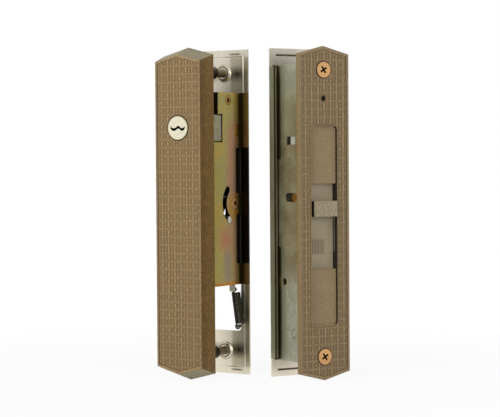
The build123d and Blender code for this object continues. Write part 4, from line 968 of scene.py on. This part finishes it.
# %% [markdown]
# ## The wound spring
#
# The return spring is the only piece that changes shape: the drive bar pulls its upper hook up by
# nearly 13 mm. In Blender it becomes a tube round a path of three arcs: a hook, twenty-two turns, and a
# second hook. The path is one array of points. To carry a circle along it without a twist, each point
# needs a direction across the wire: along the spring's axis on the coils and towards the front on the
# hooks, turning from one to the other where the wire lies square to both.

# %% The spring's path
SPRING_LOW = np.array([15.6, 41.5, -82.0])
SPRING_HIGH = np.array([10.9, 43.7, -59.2])
COIL_RADIUS, LOOP_RADIUS, WIRE_RADIUS, TURNS = 2.9, 2.0, 0.5, 22
POINTS_A_TURN, POINTS_A_HOOK, SIDES = 28, 40, 12
TURN_IN = 8
axis = SPRING_HIGH - SPRING_LOW
LENGTH = np.linalg.norm(axis)
along = axis / LENGTH
side = np.cross([0.0, -1.0, 0.0], along)
side = side / np.linalg.norm(side)
front = np.cross(along, side)


def hook(angle, middle):
    """An arc beside the coil, whose middle stands at a distance along the spring."""
    return np.stack(
        [LOOP_RADIUS * np.cos(angle), 0 * angle + COIL_RADIUS, middle + LOOP_RADIUS * np.sin(angle)], 1
    )


lower = np.linspace(pi, 2.5 * pi, POINTS_A_HOOK)[:-1]
upper = np.linspace(1.5 * pi, 0.0, POINTS_A_HOOK)[1:]
coil = np.linspace(0.0, 1.0, TURNS * POINTS_A_TURN + 1)
angle = pi / 2 + 2 * pi * TURNS * coil
turns = np.stack([COIL_RADIUS * np.cos(angle), COIL_RADIUS * np.sin(angle), LENGTH * coil], 1)
path = np.concatenate([hook(lower, -LOOP_RADIUS), turns, hook(upper, LENGTH + LOOP_RADIUS)])
on_coil = np.clip(np.minimum(coil, 1 - coil) * TURNS * TURN_IN, 0, 1)
progress = np.concatenate([0 * lower, on_coil, 0 * upper])
print("spring", round(LENGTH, 1), "mm long, points", len(path))


# %% A tube along a path
def tube(path, across, radius, sides):
    """Rings of points round a path; across is any direction that is never along the path."""
    ahead = np.gradient(path, axis=0)
    ahead = ahead / np.linalg.norm(ahead, axis=1, keepdims=True)
    across = across - ahead * (across * ahead).sum(axis=1, keepdims=True)
    across = across / np.linalg.norm(across, axis=1, keepdims=True)
    third = np.cross(ahead, across)
    turn = np.linspace(0.0, 2 * pi, sides, endpoint=False)[None, :, None]
    rings = path[:, None, :] + radius * (np.cos(turn) * across[:, None, :] + np.sin(turn) * third[:, None, :])
    first = np.broadcast_to(path[:1, None, :], (1, sides, 3))
    last = np.broadcast_to(path[-1:, None, :], (1, sides, 3))
    return np.concatenate([first, rings, last])


tilt = (progress * pi / 2)[:, None]
across = np.array([0.0, 1.0, 0.0]) * np.cos(tilt) + np.array([0.0, 0.0, 1.0]) * np.sin(tilt)
rings = tube(path, across, WIRE_RADIUS, SIDES)
in_place = SPRING_LOW + rings @ np.stack([side, front, along])
quads = grid_quads(*rings.shape[:2], closed=True)
spring, _ = surface_piece(
    "wound_spring", in_place * MM, quads, finishes["spring_black"], body=None
)
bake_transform(spring)
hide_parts("return_spring")

# %% [markdown]
# ## Screw threads
#
# Between the black sleeves and the rear plate the clamp screws are bare, and their thread shows. A
# thread is a cylinder whose radius rises and falls as one goes along it, with the wave shifted by one
# pitch for each turn round. That is a single formula on a grid of turn and distance, so the thread is a
# thin skin just proud of the plain CAD shank.

# %% Thread on the outer clamp screws
PITCH = 1.0
THREAD_FROM, THREAD_TO = 31.7, 44.2
THREAD_RADIUS, THREAD_DEPTH = 3.02, 0.14
THREAD_FLANK = (0.15, 0.85)
ROUND_STEPS, DEPTH_STEPS = 49, 151


def thread_skin(height):
    """A cylinder at a height, with a rounded wave on it that climbs one pitch a turn."""
    turn = np.linspace(0.0, 2 * pi, ROUND_STEPS)[None, :]
    depth = np.linspace(THREAD_FROM, THREAD_TO, DEPTH_STEPS)[:, None]
    wave = np.abs(((depth / PITCH - turn / (2 * pi)) % 1.0) * 2.0 - 1.0)
    radius = THREAD_RADIUS + THREAD_DEPTH * step_up(wave, *THREAD_FLANK)
    x = radius * np.cos(turn)
    z = height + radius * np.sin(turn)
    return np.stack(np.broadcast_arrays(x, depth, z), axis=-1) * MM


for name, height in (("upper_thread", CLAMP_HEIGHT), ("lower_thread", -CLAMP_HEIGHT)):
    skin = thread_skin(height)
    quads = grid_quads(*skin.shape[:2])[:, ::-1]
    surface_piece(name, skin, quads, finishes["worn_thread"])


# %% [markdown]
# ## Grip lines in the finger pocket
#
# The floor of the finger pocket has a small block of raised marks. They are plain upright grip lines
# here: a row of five rounded bars, made by one wave across the block that fades out at its ends.

# %% Grip lines
GRIP_LEFT, GRIP_WIDTH, BARS = -8.6, 12.2, 5
GRIP_MIDDLE, GRIP_HALF_HEIGHT = -24.0, 5.6
GRIP_STEPS = (101, 41)
POCKET_FLOOR, BAR_HEIGHT = 3.295, 0.16
BAR_FLANK, BAR_END, BLOCK_EDGE = (-0.35, 0.25), 0.7, (4.4, 5.2)
u, z = np.meshgrid(
    GRIP_LEFT + np.linspace(0.0, GRIP_WIDTH, GRIP_STEPS[0]),
    GRIP_MIDDLE + np.linspace(-GRIP_HALF_HEIGHT, GRIP_HALF_HEIGHT, GRIP_STEPS[1]),
)
wave = np.cos((u - GRIP_LEFT) / GRIP_WIDTH * BARS * 2 * pi)
from_middle = np.abs(z - GRIP_MIDDLE)
bars = (1.0 - step_up(wave, *BAR_FLANK)) * step_up(GRIP_HALF_HEIGHT - from_middle, 0.0, BAR_END)
points = inner_point(u, POCKET_FLOOR - BAR_HEIGHT * bars, z)
paleness = np.maximum(bars, step_up(from_middle, *BLOCK_EDGE))
set_lift(*surface_piece("grip_lines", points, grid_quads(*u.shape), grip_paint), paleness)

# %% [markdown]
# ## The riveted tab
#
# The side plate hangs on a tab of the folded case, which fills the small upright slot. It is a low
# pillow here: a flat top whose edges roll down into the slot, as a tab does when it is peened over.

# %% Tab in the side plate's slot
TAB_HALF_WIDTH, TAB_HALF_HEIGHT, TAB_STEPS = 2.1, 4.15, (33, 57)
TAB_TOP, TAB_DEPTH, TAB_ROLL = 15.05, 0.85, 0.7
TAB_Y, TAB_Z = 39.9, 60.7
y, z = np.meshgrid(
    np.linspace(-TAB_HALF_WIDTH, TAB_HALF_WIDTH, TAB_STEPS[0]),
    np.linspace(-TAB_HALF_HEIGHT, TAB_HALF_HEIGHT, TAB_STEPS[1]),
)
to_edge = np.minimum(TAB_HALF_WIDTH - np.abs(y), TAB_HALF_HEIGHT - np.abs(z))
onto_flat = 1.0 - np.clip(to_edge / TAB_ROLL, 0.0, 1.0)
x = TAB_TOP - TAB_DEPTH * (1.0 - np.sqrt(np.clip(1.0 - onto_flat**2, 0.0, 1.0)))
points = np.stack([x, y + TAB_Y, z + TAB_Z], axis=-1) * MM
surface_piece("case_tab", points, grid_quads(*y.shape), finishes["tab_gold"])

# %% [markdown]
# ## Floor and light
#
# A catalogue photograph has a white ground and broad soft light. The floor and the surroundings are
# pure white where the camera or a polished surface sees them, which is done with the Light Path node,
# so no extra light falls on the object for it. Near the lock the floor is partly a plain white diffuse
# surface, and so keeps a soft shadow.

# %% What the camera or a polished surface sees
WHITE = (1.0, 1.0, 1.0, 1.0)


def seen_or_mirrored(tree):
    """One for rays from the camera or off a polished surface, and zero for all others."""
    ray = add_node(tree, "LightPath").outputs
    return maths(tree, "MAXIMUM", ray["Is Camera Ray"], ray["Is Glossy Ray"])


def show_mixed(tree, share, plain, white_kind, output):
    """Goes from a plain shader to pure white with a share, as the tree's output."""
    white = add_node(tree, white_kind, {"Color": WHITE})
    sockets = {"Fac": share, 1: plain.outputs[0], 2: white.outputs[0]}
    mixed = add_node(tree, "MixShader", sockets)
    add_node(tree, "Output" + output, {"Surface": mixed.outputs[0]})


# %% Floor
FLOOR_GAP = 0.0002
floor_height = cad_box[0].z - FLOOR_GAP
bpy.ops.mesh.primitive_circle_add(vertices=96, radius=20.0, fill_type="NGON", location=(0, 0, floor_height))
floor = bpy.context.active_object
floor.name = "studio_floor"
floor_paint = bpy.data.materials.new("studio_white")
floor_paint.use_nodes = True
tree = floor_paint.node_tree
tree.nodes.clear()
place = add_node(tree, "TexCoord").outputs["Object"]
fade = rescale(tree, vector_maths(tree, "LENGTH", place), (0.12, 0.45), (0.92, 1.0), SMOOTH)
plain = add_node(tree, "BsdfDiffuse", {"Color": (0.85, 0.85, 0.84, 1.0)})
show_mixed(tree, product(tree, seen_or_mirrored(tree), fade), plain, "Emission", "Material")
floor.data.materials.append(floor_paint)
print("floor at", round(floor_height, 4))

# %% Surroundings
world = bpy.data.worlds.new("studio")
bpy.context.scene.world = world
world.use_nodes = True
tree = world.node_tree
tree.nodes.clear()
soft = add_node(tree, "Background", {"Color": WHITE, "Strength": 0.36})
show_mixed(tree, seen_or_mirrored(tree), soft, "Background", "World")
print("surroundings:", world.name)


# %% Lamps
def soft_box(name, place, size, power):
    """A square lamp that faces the lock."""
    lamp = bpy.data.lights.new(name, "AREA")
    lamp.size = size
    lamp.energy = power
    box = bpy.data.objects.new(name, lamp)
    box.location = place
    box.rotation_euler = (AIM_POINT - Vector(place)).to_track_quat("-Z", "Y").to_euler()
    bpy.context.scene.collection.objects.link(box)
    print(name, "of", power, "W")


soft_box("key_light", (-0.15, -1.6, 0.95), 0.9, 21.5)
soft_box("fill_light", (1.6, -1.0, 0.45), 1.0, 13.0)

# %% [markdown]
# ## The object's size
#
# The CAD model's outside box is printed at the end. The dressed model has to stay inside the CAD
# model's box.

# %% Print the CAD box and finish
bpy.context.view_layer.update()
bpy.context.scene.view_settings.view_transform = "Standard"
print("CAD box", [round(v, 4) for c in cad_box for v in c])
